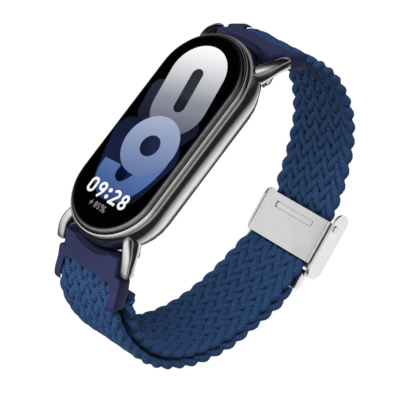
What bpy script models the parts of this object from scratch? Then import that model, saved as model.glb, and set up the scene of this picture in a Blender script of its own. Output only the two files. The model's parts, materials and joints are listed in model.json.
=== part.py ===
"""Fitness tracker band: a pill-shaped tracker on a braided strap loop with a fold-over clasp.

The object is modelled in millimetres around the middle of the cover glass's top: +X to the
display's right, +Y towards its upper end, +Z out of the glass. Every point is turned into metres
and moved up, so that the lowest point of the loop stands on Z = 0 and the loop is centred.
"""

import math

import bmesh
import bpy
from mathutils import Matrix, Vector

MM = 0.001
GLASS_TOP_Z = 53.534       # height of the glass above the lowest point of the loop
GLASS_CENTRE_Y = 1.74      # the loop reaches further out at the lower end of the display

# Tracker case
CASE_HALF_WIDTH = 10.8
CASE_HALF_LENGTH = 23.25
FRAME_TOP_Z = -0.9
FRAME_BOTTOM_Z = -7.8
FRAME_TOP_ROUND = 0.75
FRAME_BOTTOM_ROUND = 2.9
GLASS_POCKET_INSET = 0.8   # from the case's side to the wall of the glass pocket
GLASS_POCKET_Z = -2.1
BORE_INSET = 1.75          # from the case's side to the frame's inner wall
FIT_GAP = 0.15
REST_GAP = 0.3
BACK_BOTTOM_Z = -9.6
SENSOR_BOTTOM_Z = -10.9
ARC_STEPS = 14             # segments in each round end of a stadium outline

# Lug brackets and the strap pivots
LUG_X = 9.3
PIVOT_Y = 24.1
PIVOT_Z = -6.5
BRACKET_ARC_RADIUS = 9.1
BRACKET_ARC_Z = -9.3
BRACKET_RADIUS = 1.3
# A lug's (x, y, z, radius) from beyond its pivot, past the case's side, to the bar under the case
LUG_ROUTE = [(LUG_X, 24.6, -7.0, 1.15), (LUG_X, PIVOT_Y, PIVOT_Z, 1.2), (9.25, 22.8, -5.9, 1.25),
             (9.0, 21.5, -6.0, 1.4), (8.2, 20.6, -7.2, 1.25), (6.9, 20.3, -8.6, 1.2)]
UPPER_TILT = 54.0          # degrees that each connector hangs below the horizontal
LOWER_TILT = 41.0
STRAP_SWING = 50           # degrees that the lower strap swings outward from rest

# Strap
STRAP_HALF_WIDTH = 8.6
TIP_HALF_WIDTH = 8.0
STRAP_THICKNESS = 2.0
NECK_THINNING = 0.2        # how much thinner and narrower a strap is inside its connector
NECK_NARROWING = 0.5
CLASP_STRAP_THICKNESS = 1.4
CHANNEL_STRAP_HALF_WIDTH = 8.1
LAYER_PITCH = 2.3          # between the middles of the two layers at the bottom
TAIL_END_PITCH = 3.75      # the same, where the tail lies inside the thicker connector
STRAP_START = 3.2          # along the strap from the pivot to the braid's end in the connector

# Connector, measured along the strap from its pivot
TONGUE_HALF_WIDTH = 7.6
SHOULDER_HALF_WIDTH = 8.95
TONGUE_START = -1.75
SHOULDER_START = 1.9
POCKET_START = 2.9
MOUTH_START = 3.6
UPPER_ARM_END = 7.0
LOWER_ARM_END = 8.6
CONNECTOR_INNER = -1.65
CONNECTOR_OUTER = 1.4
POCKET_HALF_WIDTH = 8.35
POCKET_HALF_HEIGHT = 1.1
MOUTH_HALF_WIDTH = 7.1

# Spring bar
BAR_TUBE_RADIUS = 0.6
BAR_BORE_RADIUS = 0.7
BAR_TUBE_HOLLOW = 0.42
PLUNGER_RADIUS = 0.34
PLUNGER_TIP_X = 8.85
KNOB_X = 4.4

# Clasp, in a frame of its own: t along the strap towards the upper connector, n outward
CLASP_Y = 5.85
CLASP_Z = -47.8
CLASP_SLOPE = math.radians(12.4)
BASE_HALF_LENGTH = 4.6
BASE_HALF_WIDTH = 8.5
BASE_SHEET = 0.45
WALL_SHEET = 0.5
WALL_DEPTH = 3.3
EAR_END_T = -7.2
SLOT_T = 2.5
SLOT_HALF_LENGTH = 5.3
SLOT_HALF_WIDTH = 0.7
FLANGE_X = 9.3
FLANGE_SHEET = 0.5
FLANGE_END_T = 7.1         # the right flange; the left one is shorter
LEFT_FLANGE_END_T = 5.0
COVER_OUTER_N = 4.6
COVER_SHEET = 0.6
COVER_PLATE_END_T = 3.0
HINGE_T = 3.8
HINGE_N = 1.8
LINK_T = -6.65
LINK_N = 1.95
LINK_RADIUS = 0.45

COLOURS = {
    # name: (base colour, roughness, metallic)
    "black_glass": ((0.01, 0.01, 0.012), 0.05, 0.0),
    "display": ((0.05, 0.09, 0.25), 0.3, 0.0),
    "gunmetal": ((0.21, 0.21, 0.22), 0.22, 1.0),
    "black_plastic": ((0.02, 0.02, 0.022), 0.45, 0.0),
    "seal_rubber": ((0.03, 0.03, 0.03), 0.8, 0.0),
    "green_board": ((0.02, 0.16, 0.07), 0.5, 0.0),
    "battery_foil": ((0.45, 0.46, 0.48), 0.35, 0.6),
    "gold_contact": ((0.85, 0.6, 0.25), 0.25, 1.0),
    "amber_film": ((0.55, 0.25, 0.05), 0.4, 0.0),
    "navy_polymer": ((0.035, 0.042, 0.12), 0.42, 0.0),
    "braid_blue": ((0.035, 0.09, 0.27), 0.8, 0.0),
    "stainless": ((0.62, 0.62, 0.63), 0.28, 1.0),
    "spring_steel": ((0.5, 0.5, 0.52), 0.3, 1.0),
}


# ---------------------------------------------------------------- scene and materials

def clear_scene():
    for old in list(bpy.data.objects):
        bpy.data.objects.remove(old, do_unlink=True)


def new_collection(name):
    collection = bpy.data.collections.new(name)
    bpy.context.scene.collection.children.link(collection)
    return collection


def make_material(name):
    colour, roughness, metallic = COLOURS[name]
    material = bpy.data.materials.get(name) or bpy.data.materials.new(name)
    material.use_nodes = True
    shader = material.node_tree.nodes["Principled BSDF"]
    shader.inputs["Base Color"].default_value = (*colour, 1.0)
    shader.inputs["Roughness"].default_value = roughness
    shader.inputs["Metallic"].default_value = metallic
    material.diffuse_color = (*colour, 1.0)
    return material


def place(x, y, z):
    """A point given around the glass, as metres in the finished frame."""
    return Vector((x, y + GLASS_CENTRE_Y, z + GLASS_TOP_Z)) * MM


TO_FRAME = Matrix.Translation(Vector((0, GLASS_CENTRE_Y, GLASS_TOP_Z)) * MM) @ Matrix.Scale(MM, 4)


def add_piece(name, mesh, material, parent=None):
    """Puts a mesh drawn in millimetres around the glass into the assembly, under its joint's empty."""
    mesh.transform(TO_FRAME)
    piece = bpy.data.objects.new(name, mesh)
    assembly.objects.link(piece)
    mesh.materials.clear()
    mesh.materials.append(make_material(material))
    mesh.shade_smooth()
    mesh.set_sharp_from_angle(angle=math.radians(35))
    if parent:
        mesh.transform(Matrix.Translation(-parent.location))
        piece.parent = parent
    return piece


def add_joint(name, x, y, z):
    """An empty on a joint's axis: the pieces that move with it hang from it."""
    joint = bpy.data.objects.new(name, None)
    joint.empty_display_size = 2 * MM
    joint.location = place(x, y, z)
    assembly.objects.link(joint)
    return joint


def cut(piece, mesh, operation="DIFFERENCE"):
    """Cuts a mesh drawn in millimetres around the glass out of a piece, or joins it on."""
    mesh.transform(TO_FRAME)
    if piece.parent:
        mesh.transform(Matrix.Translation(-piece.parent.location))
    tool = bpy.data.objects.new(piece.name + "_tool", mesh)
    cutters.objects.link(tool)
    tool.parent = piece.parent
    tool.hide_render = True
    tool.display_type = "WIRE"
    modifier = piece.modifiers.new(tool.name, "BOOLEAN")
    modifier.operation = operation
    modifier.solver = "EXACT"
    modifier.object = tool


# ---------------------------------------------------------------- plain shapes

def mesh_from(build):
    """A mesh from a function that fills a bmesh."""
    work = bmesh.new()
    build(work)
    mesh = bpy.data.meshes.new("shape")
    work.to_mesh(mesh)
    work.free()
    return mesh


def block(low, high, rounding=0.0, segments=2):
    """A box between two corners, with its edges rounded."""
    low, high = Vector(low), Vector(high)

    def build(work):
        size = Matrix.Diagonal((*(high - low), 1.0))
        bmesh.ops.create_cube(work, size=1.0, matrix=Matrix.Translation((low + high) / 2) @ size)
        if rounding:
            bmesh.ops.bevel(work, geom=work.edges[:], offset=rounding, segments=segments,
                            profile=0.5, affect="EDGES")
    return mesh_from(build)


def drum(centre, radius, length, axis="X", sides=20):
    """A cylinder about a centre, lying along an axis."""
    turns = {"X": Matrix.Rotation(math.pi / 2, 4, "Y"), "Z": Matrix.Identity(4)}

    def build(work):
        bmesh.ops.create_cone(work, cap_ends=True, segments=sides, radius1=radius, radius2=radius,
                              depth=length, matrix=Matrix.Translation(centre) @ turns[axis])
    return mesh_from(build)


def curve_to_mesh(curve):
    """The mesh of a curve, with its loose caps welded on."""
    holder = bpy.data.objects.new("curve", curve)
    cutters.objects.link(holder)
    bpy.context.view_layer.update()
    graph = bpy.context.evaluated_depsgraph_get()
    mesh = bpy.data.meshes.new_from_object(holder.evaluated_get(graph))
    bpy.data.objects.remove(holder)

    work = bmesh.new()
    work.from_mesh(mesh)
    bmesh.ops.remove_doubles(work, verts=work.verts, dist=1e-4)
    bmesh.ops.recalc_face_normals(work, faces=work.faces)
    work.to_mesh(mesh)
    work.free()
    return mesh


def flat_shape(outline, low, high):
    """A flat outline in X and Y, filled and given a thickness from low to high."""
    curve = bpy.data.curves.new("outline", "CURVE")
    curve.dimensions = "2D"
    curve.fill_mode = "BOTH"
    curve.extrude = (high - low) / 2
    spline = curve.splines.new("POLY")
    spline.points.add(len(outline) - 1)
    for point, (x, y) in zip(spline.points, outline):
        point.co = (x, y, 0, 1)
    spline.use_cyclic_u = True
    mesh = curve_to_mesh(curve)
    mesh.transform(Matrix.Translation((0, 0, (low + high) / 2)))
    return mesh


def round_rims(mesh, z, offset, segments):
    """Rounds the outer edges of a flat shape that lie at height z."""
    work = bmesh.new()
    work.from_mesh(mesh)
    bmesh.ops.dissolve_limit(work, angle_limit=math.radians(1), verts=work.verts, edges=work.edges)
    rim = [edge for edge in work.edges
           if all(abs(vert.co.z - z) < 1e-4 for vert in edge.verts) and edge.calc_face_angle(0) > 0.8]
    bmesh.ops.bevel(work, geom=rim, offset=offset, segments=segments, profile=0.5,
                    affect="EDGES", clamp_overlap=False)
    bmesh.ops.remove_doubles(work, verts=work.verts, dist=1e-4)
    work.to_mesh(mesh)
    work.free()
    return mesh


def stadium(inset, half_width=CASE_HALF_WIDTH, half_length=CASE_HALF_LENGTH):
    """The case's outline, a rectangle with round ends, moved in by inset."""
    radius = half_width - inset
    centre = half_length - half_width
    outline = []
    for end, start in ((1, 0.0), (-1, math.pi)):
        for step in range(ARC_STEPS + 1):
            angle = start + math.pi * step / ARC_STEPS
            outline.append((radius * math.cos(angle), end * centre + radius * math.sin(angle)))
    return outline


def small_stadium(half_width, half_length):
    return stadium(0.0, half_width, half_length)


def rod(points, radii, sides):
    """A round bar along a list of points, with a radius at each and flat ends."""
    curve = bpy.data.curves.new("rod", "CURVE")
    curve.dimensions = "3D"
    curve.bevel_depth = 1.0
    curve.bevel_resolution = sides
    curve.use_fill_caps = True
    spline = curve.splines.new("POLY")
    spline.points.add(len(points) - 1)
    for target, point, radius in zip(spline.points, points, radii):
        target.co = (*point, 1)
        target.radius = radius
    return curve_to_mesh(curve)


def smooth_points(controls, per_span):
    """Points on a Catmull-Rom curve through a few control points."""
    controls = [Vector(point) for point in controls]
    ends = [controls[0] * 2 - controls[1], *controls, controls[-1] * 2 - controls[-2]]
    points = []
    for before, start, end, after in zip(ends, ends[1:], ends[2:], ends[3:]):
        for step in range(per_span):
            u = step / per_span
            points.append(0.5 * (2 * start + (end - before) * u
                                 + (2 * before - 5 * start + 4 * end - after) * u ** 2
                                 + (3 * start - before - 3 * end + after) * u ** 3))
    points.append(controls[-1])
    return points


# ---------------------------------------------------------------- strap paths

class StrapPath:
    """A strap's middle line in the Y-Z plane, measured along its length from the pivot."""

    def __init__(self, controls, outward_sign):
        self.points = smooth_points([(0, y, z) for y, z in controls], 16)
        self.outward_sign = outward_sign
        self.lengths = [0.0]
        for before, after in zip(self.points, self.points[1:]):
            self.lengths.append(self.lengths[-1] + (after - before).length)

    @property
    def total(self):
        return self.lengths[-1]

    def at(self, distance):
        """The point and the direction at a distance; straight on beyond either end."""
        last = len(self.points) - 2
        index = 0
        while index < last and self.lengths[index + 1] < distance:
            index += 1
        start, end = self.points[index], self.points[index + 1]
        direction = (end - start).normalized()
        return start + direction * (distance - self.lengths[index]), direction

    def outward(self, distance):
        """The direction out of the loop, from slopes a little before and after."""
        along = (self.at(distance + 0.4)[0] - self.at(distance - 0.4)[0]).normalized()
        return Vector((0, -along.z, along.y)) * self.outward_sign

    def bend(self, x, distance, height):
        """Flat strap coordinates turned into a point around the glass."""
        return Vector((x, 0, 0)) + self.at(distance)[0] + self.outward(distance) * height


def clasp_point(t, n):
    """Clasp coordinates as (y, z) around the glass."""
    y = CLASP_Y + t * math.cos(CLASP_SLOPE) + n * math.sin(CLASP_SLOPE)
    z = CLASP_Z + t * math.sin(CLASP_SLOPE) - n * math.cos(CLASP_SLOPE)
    return y, z


def along_tilt(end, tilt, distance):
    """A point on the straight line that a connector hangs along; end is 1 above and -1 below."""
    angle = math.radians(tilt)
    return end * (PIVOT_Y + distance * math.cos(angle)), PIVOT_Z - distance * math.sin(angle)


def short_strap_path():
    controls = [along_tilt(-1, LOWER_TILT, distance) for distance in (0.0, 4.5)]
    controls += [(-30.6, -11.8), (-33.1, -17.2), (-34.0, -24.5), (-32.8, -32.4), (-28.6, -39.6),
                 (-24.0, -43.9), (-20.0, -46.53), (-16.7, -47.77), (-13.4, -49.02), (-10.1, -50.26),
                 clasp_point(-10.6, LINK_N)]
    return StrapPath(controls, -1)


def long_strap_path(short_path):
    """Round the upper end, through the clasp, then back up inside the short strap."""
    controls = [along_tilt(1, UPPER_TILT, distance) for distance in (0.0, 4.5)]
    controls += [(28.7, -13.6), (30.2, -19.0), (30.4, -25.0), (28.5, -32.5), (24.2, -39.0), (17.9, -44.1)]
    controls += [clasp_point(t, n) for t, n in ((7.4, 0.6), (4.4, 1.85), (0.0, 1.9), (-4.2, 1.8),
                                                (-6.5, 0.1), (-8.8, -0.65))]
    for back in (16.0, 24.0, 32.0, 40.0, 48.0, 56.0):
        point = short_path.bend(0, short_path.total - back + 8.0, -LAYER_PITCH)
        controls.append((point.y, point.z))
    for distance, pitch in ((15.0, LAYER_PITCH + 0.5), (9.0, TAIL_END_PITCH), (5.5, TAIL_END_PITCH)):
        point = short_path.bend(0, distance, -pitch)
        controls.append((point.y, point.z))
    return StrapPath(controls, 1)


def bent(mesh, path, start, end, step=1.2):
    """Wraps a mesh drawn flat, Y along the strap and Z outward, on to a strap's path."""
    work = bmesh.new()
    work.from_mesh(mesh)
    count = int((end - start) / step)
    for index in range(1, count):
        bmesh.ops.bisect_plane(work, geom=work.verts[:] + work.edges[:] + work.faces[:],
                               plane_co=(0, start + index * (end - start) / count, 0),
                               plane_no=(0, 1, 0))
    for vert in work.verts:
        vert.co = path.bend(*vert.co)
    work.normal_update()
    bmesh.ops.recalc_face_normals(work, faces=work.faces)
    bmesh.ops.triangulate(work, faces=work.faces)
    work.to_mesh(mesh)
    work.free()
    return mesh


def strap_strip(path, start, end, half_width_at, thickness_at, step):
    """A strap's closed band: its rectangle, swept along the path with its corners cut off."""
    count = round((end - start) / step)

    def build(work):
        bmesh.ops.create_grid(work, x_segments=4, y_segments=count, size=0.5)
        for vert in work.verts:
            distance = start + (vert.co.y + 0.5) * (end - start)
            vert.co = (vert.co.x * 2 * half_width_at(distance), distance, 0)
        lower = work.faces[:]
        upper = bmesh.ops.extrude_face_region(work, geom=lower)["geom"]
        raised = {item for item in upper if isinstance(item, bmesh.types.BMVert)}
        bmesh.ops.reverse_faces(work, faces=lower)
        for vert in work.verts:
            distance = vert.co.y
            edge = abs(vert.co.x) > half_width_at(distance) - 1e-4
            height = thickness_at(distance) / 2 * (0.6 if edge else 1.0)
            vert.co = path.bend(vert.co.x, distance, height if vert in raised else -height)
        work.normal_update()
        bmesh.ops.recalc_face_normals(work, faces=work.faces)
    return mesh_from(build)


# ---------------------------------------------------------------- tracker case

def make_case():
    glass_inset = GLASS_POCKET_INSET + FIT_GAP
    glass = flat_shape(stadium(glass_inset), -1.5, 0.0)
    add_piece("cover_glass", round_rims(glass, 0.0, 1.0, 4), "black_glass")

    seal = add_piece("glass_seal", flat_shape(stadium(glass_inset + 0.1), -1.95, -1.65), "seal_rubber")
    cut(seal, flat_shape(stadium(BORE_INSET - 0.05), -3.0, 0.0))

    add_piece("display_panel", flat_shape(stadium(BORE_INSET + 0.2), -2.6, -1.65), "display")

    body = flat_shape(stadium(0.0), FRAME_BOTTOM_Z, FRAME_TOP_Z)
    body = round_rims(body, FRAME_TOP_Z, FRAME_TOP_ROUND, 3)
    body = round_rims(body, FRAME_BOTTOM_Z, FRAME_BOTTOM_ROUND, 5)
    frame = add_piece("metal_frame", body, "gunmetal")
    cut(frame, flat_shape(stadium(GLASS_POCKET_INSET), GLASS_POCKET_Z, 1.0))
    cut(frame, flat_shape(stadium(BORE_INSET), -10.0, -1.0))


def make_inside():
    chassis = add_piece("inner_chassis", flat_shape(small_stadium(8.75, 19.7), -7.0, -2.9),
                        "black_plastic")
    cut(chassis, flat_shape(small_stadium(8.05, 19.0), -8.0, -3.4))

    add_piece("battery_cell", block((-6.6, -13.0, -6.9), (6.6, 10.0, -3.7), 0.5), "battery_foil")
    add_piece("main_board", flat_shape(small_stadium(8.0, 19.2), -7.85, -7.35), "green_board")
    add_piece("processor_chip", block((-3.0, -15.6, -8.75), (3.0, -11.4, -8.05)), "black_plastic")
    ribbon = [(-19.0, -2.8), (-20.35, -3.2), (-20.35, -6.7), (-18.9, -7.15)]
    film = StrapPath(ribbon, 1)
    add_piece("display_flex", strap_strip(film, 0.0, film.total, lambda _: 2.5, lambda _: 0.14, 0.7),
              "amber_film")


def make_motor(spin):
    """A coin motor: a shallow can with a lead opening, and an eccentric weight that spins in it."""
    centre = Vector((0, 15.0, -5.1))
    can = add_piece("motor_case", drum(centre, 3.6, 3.2, "Z", 28), "stainless")
    cut(can, drum(centre, 3.2, 2.4, "Z", 28))
    cut(can, block(centre + Vector((-0.6, 2.5, -0.9)), centre + Vector((0.6, 4.5, 0.3))))
    cut(can, drum(centre, 0.5, 5.0, "Z", 14))

    weight = add_piece("motor_weight", drum(centre, 2.9, 1.2, "Z", 28), "spring_steel", spin)
    cut(weight, block(centre + Vector((-4.0, -4.0, -1.0)), centre + Vector((4.0, -0.7, 1.0))))
    cut(weight, drum(centre, 0.4, 2.9, "Z", 14), "UNION")


def make_back():
    shell = flat_shape(stadium(BORE_INSET + FIT_GAP), BACK_BOTTOM_Z, -8.0)
    back = add_piece("back_cover", round_rims(shell, BACK_BOTTOM_Z, 1.5, 4), "black_plastic")
    cut(back, flat_shape(small_stadium(7.4, 19.6), -9.1, -7.0))
    cut(back, flat_shape(small_stadium(5.0, 8.6), -11.0, -8.0))
    for y in (13.4, 16.6):
        cut(back, drum((0, y, -9.4), 1.1, 3.0, "Z", 20))

    seal = add_piece("back_seal", flat_shape(stadium(BORE_INSET + 0.25), -7.8, -7.45), "seal_rubber")
    cut(seal, flat_shape(small_stadium(8.15, 19.45), -9.0, -7.0))

    window = flat_shape(small_stadium(4.8, 8.4), SENSOR_BOTTOM_Z, -9.15)
    add_piece("sensor_window", round_rims(window, SENSOR_BOTTOM_Z, 0.7, 3), "black_glass")
    add_piece("sensor_board", flat_shape(small_stadium(4.4, 7.6), -8.9, -8.45), "green_board")
    for name, y in (("charge_contact_upper", 16.6), ("charge_contact_lower", 13.4)):
        add_piece(name, drum((0, y, -9.0), 0.9, 1.6, "Z", 20), "gold_contact")


# ---------------------------------------------------------------- lug brackets and release buttons

def case_clearance():
    """The frame's outer shape grown by the gap that its neighbours keep."""
    around = flat_shape(stadium(-REST_GAP), FRAME_BOTTOM_Z - REST_GAP, FRAME_TOP_Z + REST_GAP)
    return round_rims(around, FRAME_BOTTOM_Z - REST_GAP, FRAME_BOTTOM_ROUND + REST_GAP, 5)


def tapered_bar(route, end):
    """A bar along (x, y, z, radius) points, at the upper end (1) or the lower end (-1)."""
    stops = smooth_points(route, 3)
    return rod([Vector((x, end * y, z)) for x, y, z, _ in stops], [stop[3] for stop in stops], 3)


def make_bracket(name, end):
    """A bent bar: down one tapered lug, under the case's end, and up the other lug."""
    arc_centre = CASE_HALF_LENGTH - CASE_HALF_WIDTH
    half = list(LUG_ROUTE)
    for degrees in (57, 72, 90):
        angle = math.radians(degrees)
        half.append((BRACKET_ARC_RADIUS * math.cos(angle),
                     arc_centre + BRACKET_ARC_RADIUS * math.sin(angle), BRACKET_ARC_Z, BRACKET_RADIUS))
    route = half + [(-x, y, z, radius) for x, y, z, radius in reversed(half[:-1])]
    bracket = add_piece(name, tapered_bar(route, end), "gunmetal")

    cut(bracket, case_clearance())
    cut(bracket, flat_shape(stadium(BORE_INSET + FIT_GAP - REST_GAP), BACK_BOTTOM_Z - 2, -7.0))
    for side in (-1, 1):
        cut(bracket, drum((side * 8.4, end * PIVOT_Y, PIVOT_Z), 0.6, 1.8, "X", 16))
    recess_y = sorted((end * 20.0, end * 24.5))
    cut(bracket, block((-2.6, recess_y[0], -12.0), (2.6, recess_y[1], -8.9)))


def make_release_button(name, end, slide):
    """The button under a bracket that lets its latch go when pressed towards the case."""
    near, far = sorted((end * 21.7, end * 23.2))
    add_piece(name, block((-2.3, near, -10.5), (2.3, far, -9.55), 0.25), "black_plastic", slide)


# ---------------------------------------------------------------- connectors and spring bars

def connector_outline(arm_end):
    """Half of the plan, from the tongue's front round the shoulder to the arm's end."""
    rounding = 0.7
    right = [(TONGUE_HALF_WIDTH, TONGUE_START)]
    right += [(TONGUE_HALF_WIDTH, SHOULDER_START - 0.1)]
    for step in range(5):
        angle = math.radians(90 - 90 * step / 4)
        right.append((SHOULDER_HALF_WIDTH - rounding + rounding * math.cos(angle),
                      SHOULDER_START + rounding - rounding * math.sin(angle)))
    for step in range(5):
        angle = math.radians(90 * step / 4)
        right.append((SHOULDER_HALF_WIDTH - rounding + rounding * math.cos(angle),
                      arm_end - rounding + rounding * math.sin(angle)))
    return right + [(-x, y) for x, y in reversed(right)]


def mouth_outline(arm_end):
    """The U-shaped opening in the connector's faces that shows the braid."""
    rounding = 1.6
    right = []
    for step in range(5):
        angle = math.radians(90 - 90 * step / 4)
        right.append((MOUTH_HALF_WIDTH - rounding + rounding * math.cos(angle),
                      MOUTH_START + rounding - rounding * math.sin(angle)))
    right.append((MOUTH_HALF_WIDTH, arm_end + 2))
    return right + [(-x, y) for x, y in reversed(right)]


def make_connector(name, path, end, arm_end, parent):
    solid = flat_shape(connector_outline(arm_end), CONNECTOR_INNER, CONNECTOR_OUTER)
    solid = round_rims(solid, CONNECTOR_OUTER, 0.45, 2)
    solid = round_rims(solid, CONNECTOR_INNER, 0.45, 2)
    connector = add_piece(name, bent(solid, path, TONGUE_START, arm_end), "navy_polymer", parent)

    pocket = block((-POCKET_HALF_WIDTH, POCKET_START, -POCKET_HALF_HEIGHT),
                   (POCKET_HALF_WIDTH, arm_end + 2, POCKET_HALF_HEIGHT))
    cut(connector, bent(pocket, path, POCKET_START, arm_end + 2))
    for low, high in ((0.5, 3.0), (-3.0, -0.5)):
        mouth = flat_shape(mouth_outline(arm_end), low, high)
        cut(connector, bent(mouth, path, MOUTH_START, arm_end + 2))
    cut(connector, drum((0, end * PIVOT_Y, PIVOT_Z), BAR_BORE_RADIUS, 20.0, "X", 24))
    axis = Matrix.Translation((0, end * PIVOT_Y, PIVOT_Z))
    for degrees in range(0, STRAP_SWING + 1, 10):
        case = case_clearance()
        turn = Matrix.Rotation(math.radians(-end * degrees), 4, "X")
        case.transform(axis @ turn @ axis.inverted())
        cut(connector, case)
    knob_slot = block((KNOB_X - 2.0, -0.4, -3.0), (KNOB_X + 0.45, 0.4, 0.0))
    cut(connector, bent(knob_slot, path, -0.4, 0.4, 0.8))


def make_spring_bar(side, path, end, strap_parent, plunger_parent):
    """A tube with a fixed pin at one end and a sprung plunger with a knob at the other."""
    def on_axis(x):
        return Vector((x, end * PIVOT_Y, PIVOT_Z))

    tube = add_piece(side + "_bar_tube", drum(on_axis(0), BAR_TUBE_RADIUS, 14.4, "X", 20),
                     "spring_steel", strap_parent)
    cut(tube, drum(on_axis(-8.0), PLUNGER_RADIUS, 1.9, "X", 14), "UNION")
    cut(tube, drum(on_axis(4.5), BAR_TUBE_HOLLOW, 9.0, "X", 18))
    window = block((KNOB_X - 2.0, -0.28, -2.0), (KNOB_X + 0.45, 0.28, 0.0))
    cut(tube, bent(window, path, -0.28, 0.28, 0.6))

    length = PLUNGER_TIP_X - 3.0
    plunger = add_piece(side + "_bar_plunger",
                        drum(on_axis(PLUNGER_TIP_X - length / 2), PLUNGER_RADIUS, length, "X", 16),
                        "spring_steel", plunger_parent)
    knob = block((KNOB_X - 0.3, -0.2, -2.2), (KNOB_X + 0.3, 0.2, -0.1))
    cut(plunger, bent(knob, path, -0.2, 0.2, 0.4), "UNION")

    turns, per_turn, coil_radius, first_x, last_x = 5, 8, 0.27, 0.2, 2.8
    coil = []
    for step in range(turns * per_turn + 1):
        angle = 2 * math.pi * step / per_turn
        x = first_x + (last_x - first_x) * step / (turns * per_turn)
        coil.append(on_axis(x) + Vector((0, math.cos(angle), math.sin(angle))) * coil_radius)
    add_piece(side + "_bar_spring", rod(coil, [0.08] * len(coil), 0), "spring_steel", strap_parent)


# ---------------------------------------------------------------- straps

def blend(value, start, end):
    """0 before start and 1 after end, smooth between."""
    share = min(max((value - start) / (end - start), 0.0), 1.0)
    return share * share * (3 - 2 * share)


def in_connector(distance, arm_end):
    """1 where a strap is inside its connector and 0 beyond its arms."""
    return 1 - blend(distance, arm_end, arm_end + 2)


def make_short_strap(path, parent):
    end = path.total - 0.4

    def half_width(distance):
        near_crimp = blend(distance, end - 3.0, end - 1.0)
        return STRAP_HALF_WIDTH - NECK_NARROWING * in_connector(distance, LOWER_ARM_END) - 0.5 * near_crimp

    def thickness(distance):
        near_crimp = blend(distance, end - 3.0, end - 1.0)
        return STRAP_THICKNESS - NECK_THINNING * in_connector(distance, LOWER_ARM_END) - 0.5 * near_crimp

    add_piece("short_strap", strap_strip(path, STRAP_START, end, half_width, thickness, 2.2),
              "braid_blue", parent)


def make_long_strap(path, clasp_from, clasp_to, parent):
    """The braid from the upper connector to its tail, pressed flatter and narrower in the clasp."""
    end = path.total

    def in_clasp(distance):
        return blend(distance, clasp_from - 3.0, clasp_from) * (1 - blend(distance, clasp_to, clasp_to + 3.0))

    def half_width(distance):
        squeezed = (STRAP_HALF_WIDTH - CHANNEL_STRAP_HALF_WIDTH) * in_clasp(distance)
        return STRAP_HALF_WIDTH - NECK_NARROWING * in_connector(distance, UPPER_ARM_END) - squeezed

    def thickness(distance):
        pressed = (STRAP_THICKNESS - CLASP_STRAP_THICKNESS) * in_clasp(distance)
        return STRAP_THICKNESS - NECK_THINNING * in_connector(distance, UPPER_ARM_END) - pressed

    add_piece("long_strap", strap_strip(path, STRAP_START, end - 1.5, half_width, thickness, 2.0),
              "braid_blue", parent)
    tip = block((-TIP_HALF_WIDTH, end - 1.3, -0.9), (TIP_HALF_WIDTH, end, 0.9), 0.3)
    add_piece("strap_tail_tip", bent(tip, path, end - 1.3, end, 0.65), "navy_polymer", parent)


# ---------------------------------------------------------------- clasp

def in_clasp_frame(mesh):
    """Moves a mesh drawn with Y along the clasp and Z outward into its place."""
    y, z = clasp_point(0, 0)
    turn = Matrix.Rotation(CLASP_SLOPE, 4, "X") @ Matrix.Scale(-1, 4, (0, 0, 1))
    mesh.transform(Matrix.Translation((0, y, z)) @ turn)
    mesh.flip_normals()
    return mesh


def clasp_block(low, high, rounding=0.0):
    return in_clasp_frame(block(low, high, rounding))


def clasp_drum(x, t, n, radius, length, sides=18):
    return in_clasp_frame(drum((x, t, n), radius, length, "X", sides))


def make_clasp_base(parent):
    """The inner plate, folded down into a wall each side, with ears that hold the link bar."""
    outer = BASE_HALF_WIDTH + WALL_SHEET
    base = add_piece("clasp_base",
                     clasp_block((-outer, -BASE_HALF_LENGTH, 0), (outer, BASE_HALF_LENGTH, WALL_DEPTH), 0.18),
                     "stainless", parent)
    for side in (-1, 1):
        low, high = sorted((side * (BASE_HALF_WIDTH + 0.02), side * (outer - 0.02)))
        cut(base, clasp_block((low, EAR_END_T, 1.1), (high, 0.0, 2.8), 0.1), "UNION")
    cut(base, clasp_block((-BASE_HALF_WIDTH, -9.0, BASE_SHEET), (BASE_HALF_WIDTH, 9.0, 6.0)))
    cut(base, clasp_block((-SLOT_HALF_LENGTH, SLOT_T - SLOT_HALF_WIDTH, -1.0),
                          (SLOT_HALF_LENGTH, SLOT_T + SLOT_HALF_WIDTH, 0.6)))
    cut(base, clasp_drum(0, HINGE_T, HINGE_N, 0.56, 30.0))
    cut(base, clasp_drum(0, LINK_T, LINK_N, LINK_RADIUS + 0.04, 30.0))

    liner = add_piece("grip_liner", clasp_block((-8.2, -3.8, 0.6), (8.2, 4.0, 0.8)), "stainless", parent)
    cut(liner, clasp_block((-SLOT_HALF_LENGTH + 0.25, SLOT_T - SLOT_HALF_WIDTH + 0.25, 0.12),
                           (SLOT_HALF_LENGTH - 0.25, SLOT_T + SLOT_HALF_WIDTH - 0.25, 0.7)), "UNION")

    add_piece("link_bar", clasp_drum(0, LINK_T, LINK_N, LINK_RADIUS, 17.9), "stainless", parent)


def flange_outline(end_t):
    """A side flange seen from the side: straight edges and round ends, as (t, n) points."""
    middle = (0.55 + COVER_OUTER_N) / 2
    radius = (COVER_OUTER_N - 0.55) / 2
    outline = []
    for end, start in ((1, -90.0), (-1, 90.0)):
        for step in range(9):
            angle = math.radians(start + 180 * step / 8)
            outline.append((end * (end_t - radius) + radius * math.cos(angle),
                            middle + radius * math.sin(angle)))
    return outline


def flange(x_low, x_high, end_t):
    """The flange's outline given its sheet thickness across X, drawn in the clasp frame."""
    shape = flat_shape(flange_outline(end_t), x_low, x_high)
    shape.transform(Matrix(((0, 0, 1, 0), (1, 0, 0, 0), (0, 1, 0, 0), (0, 0, 0, 1))))
    return in_clasp_frame(shape)


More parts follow.
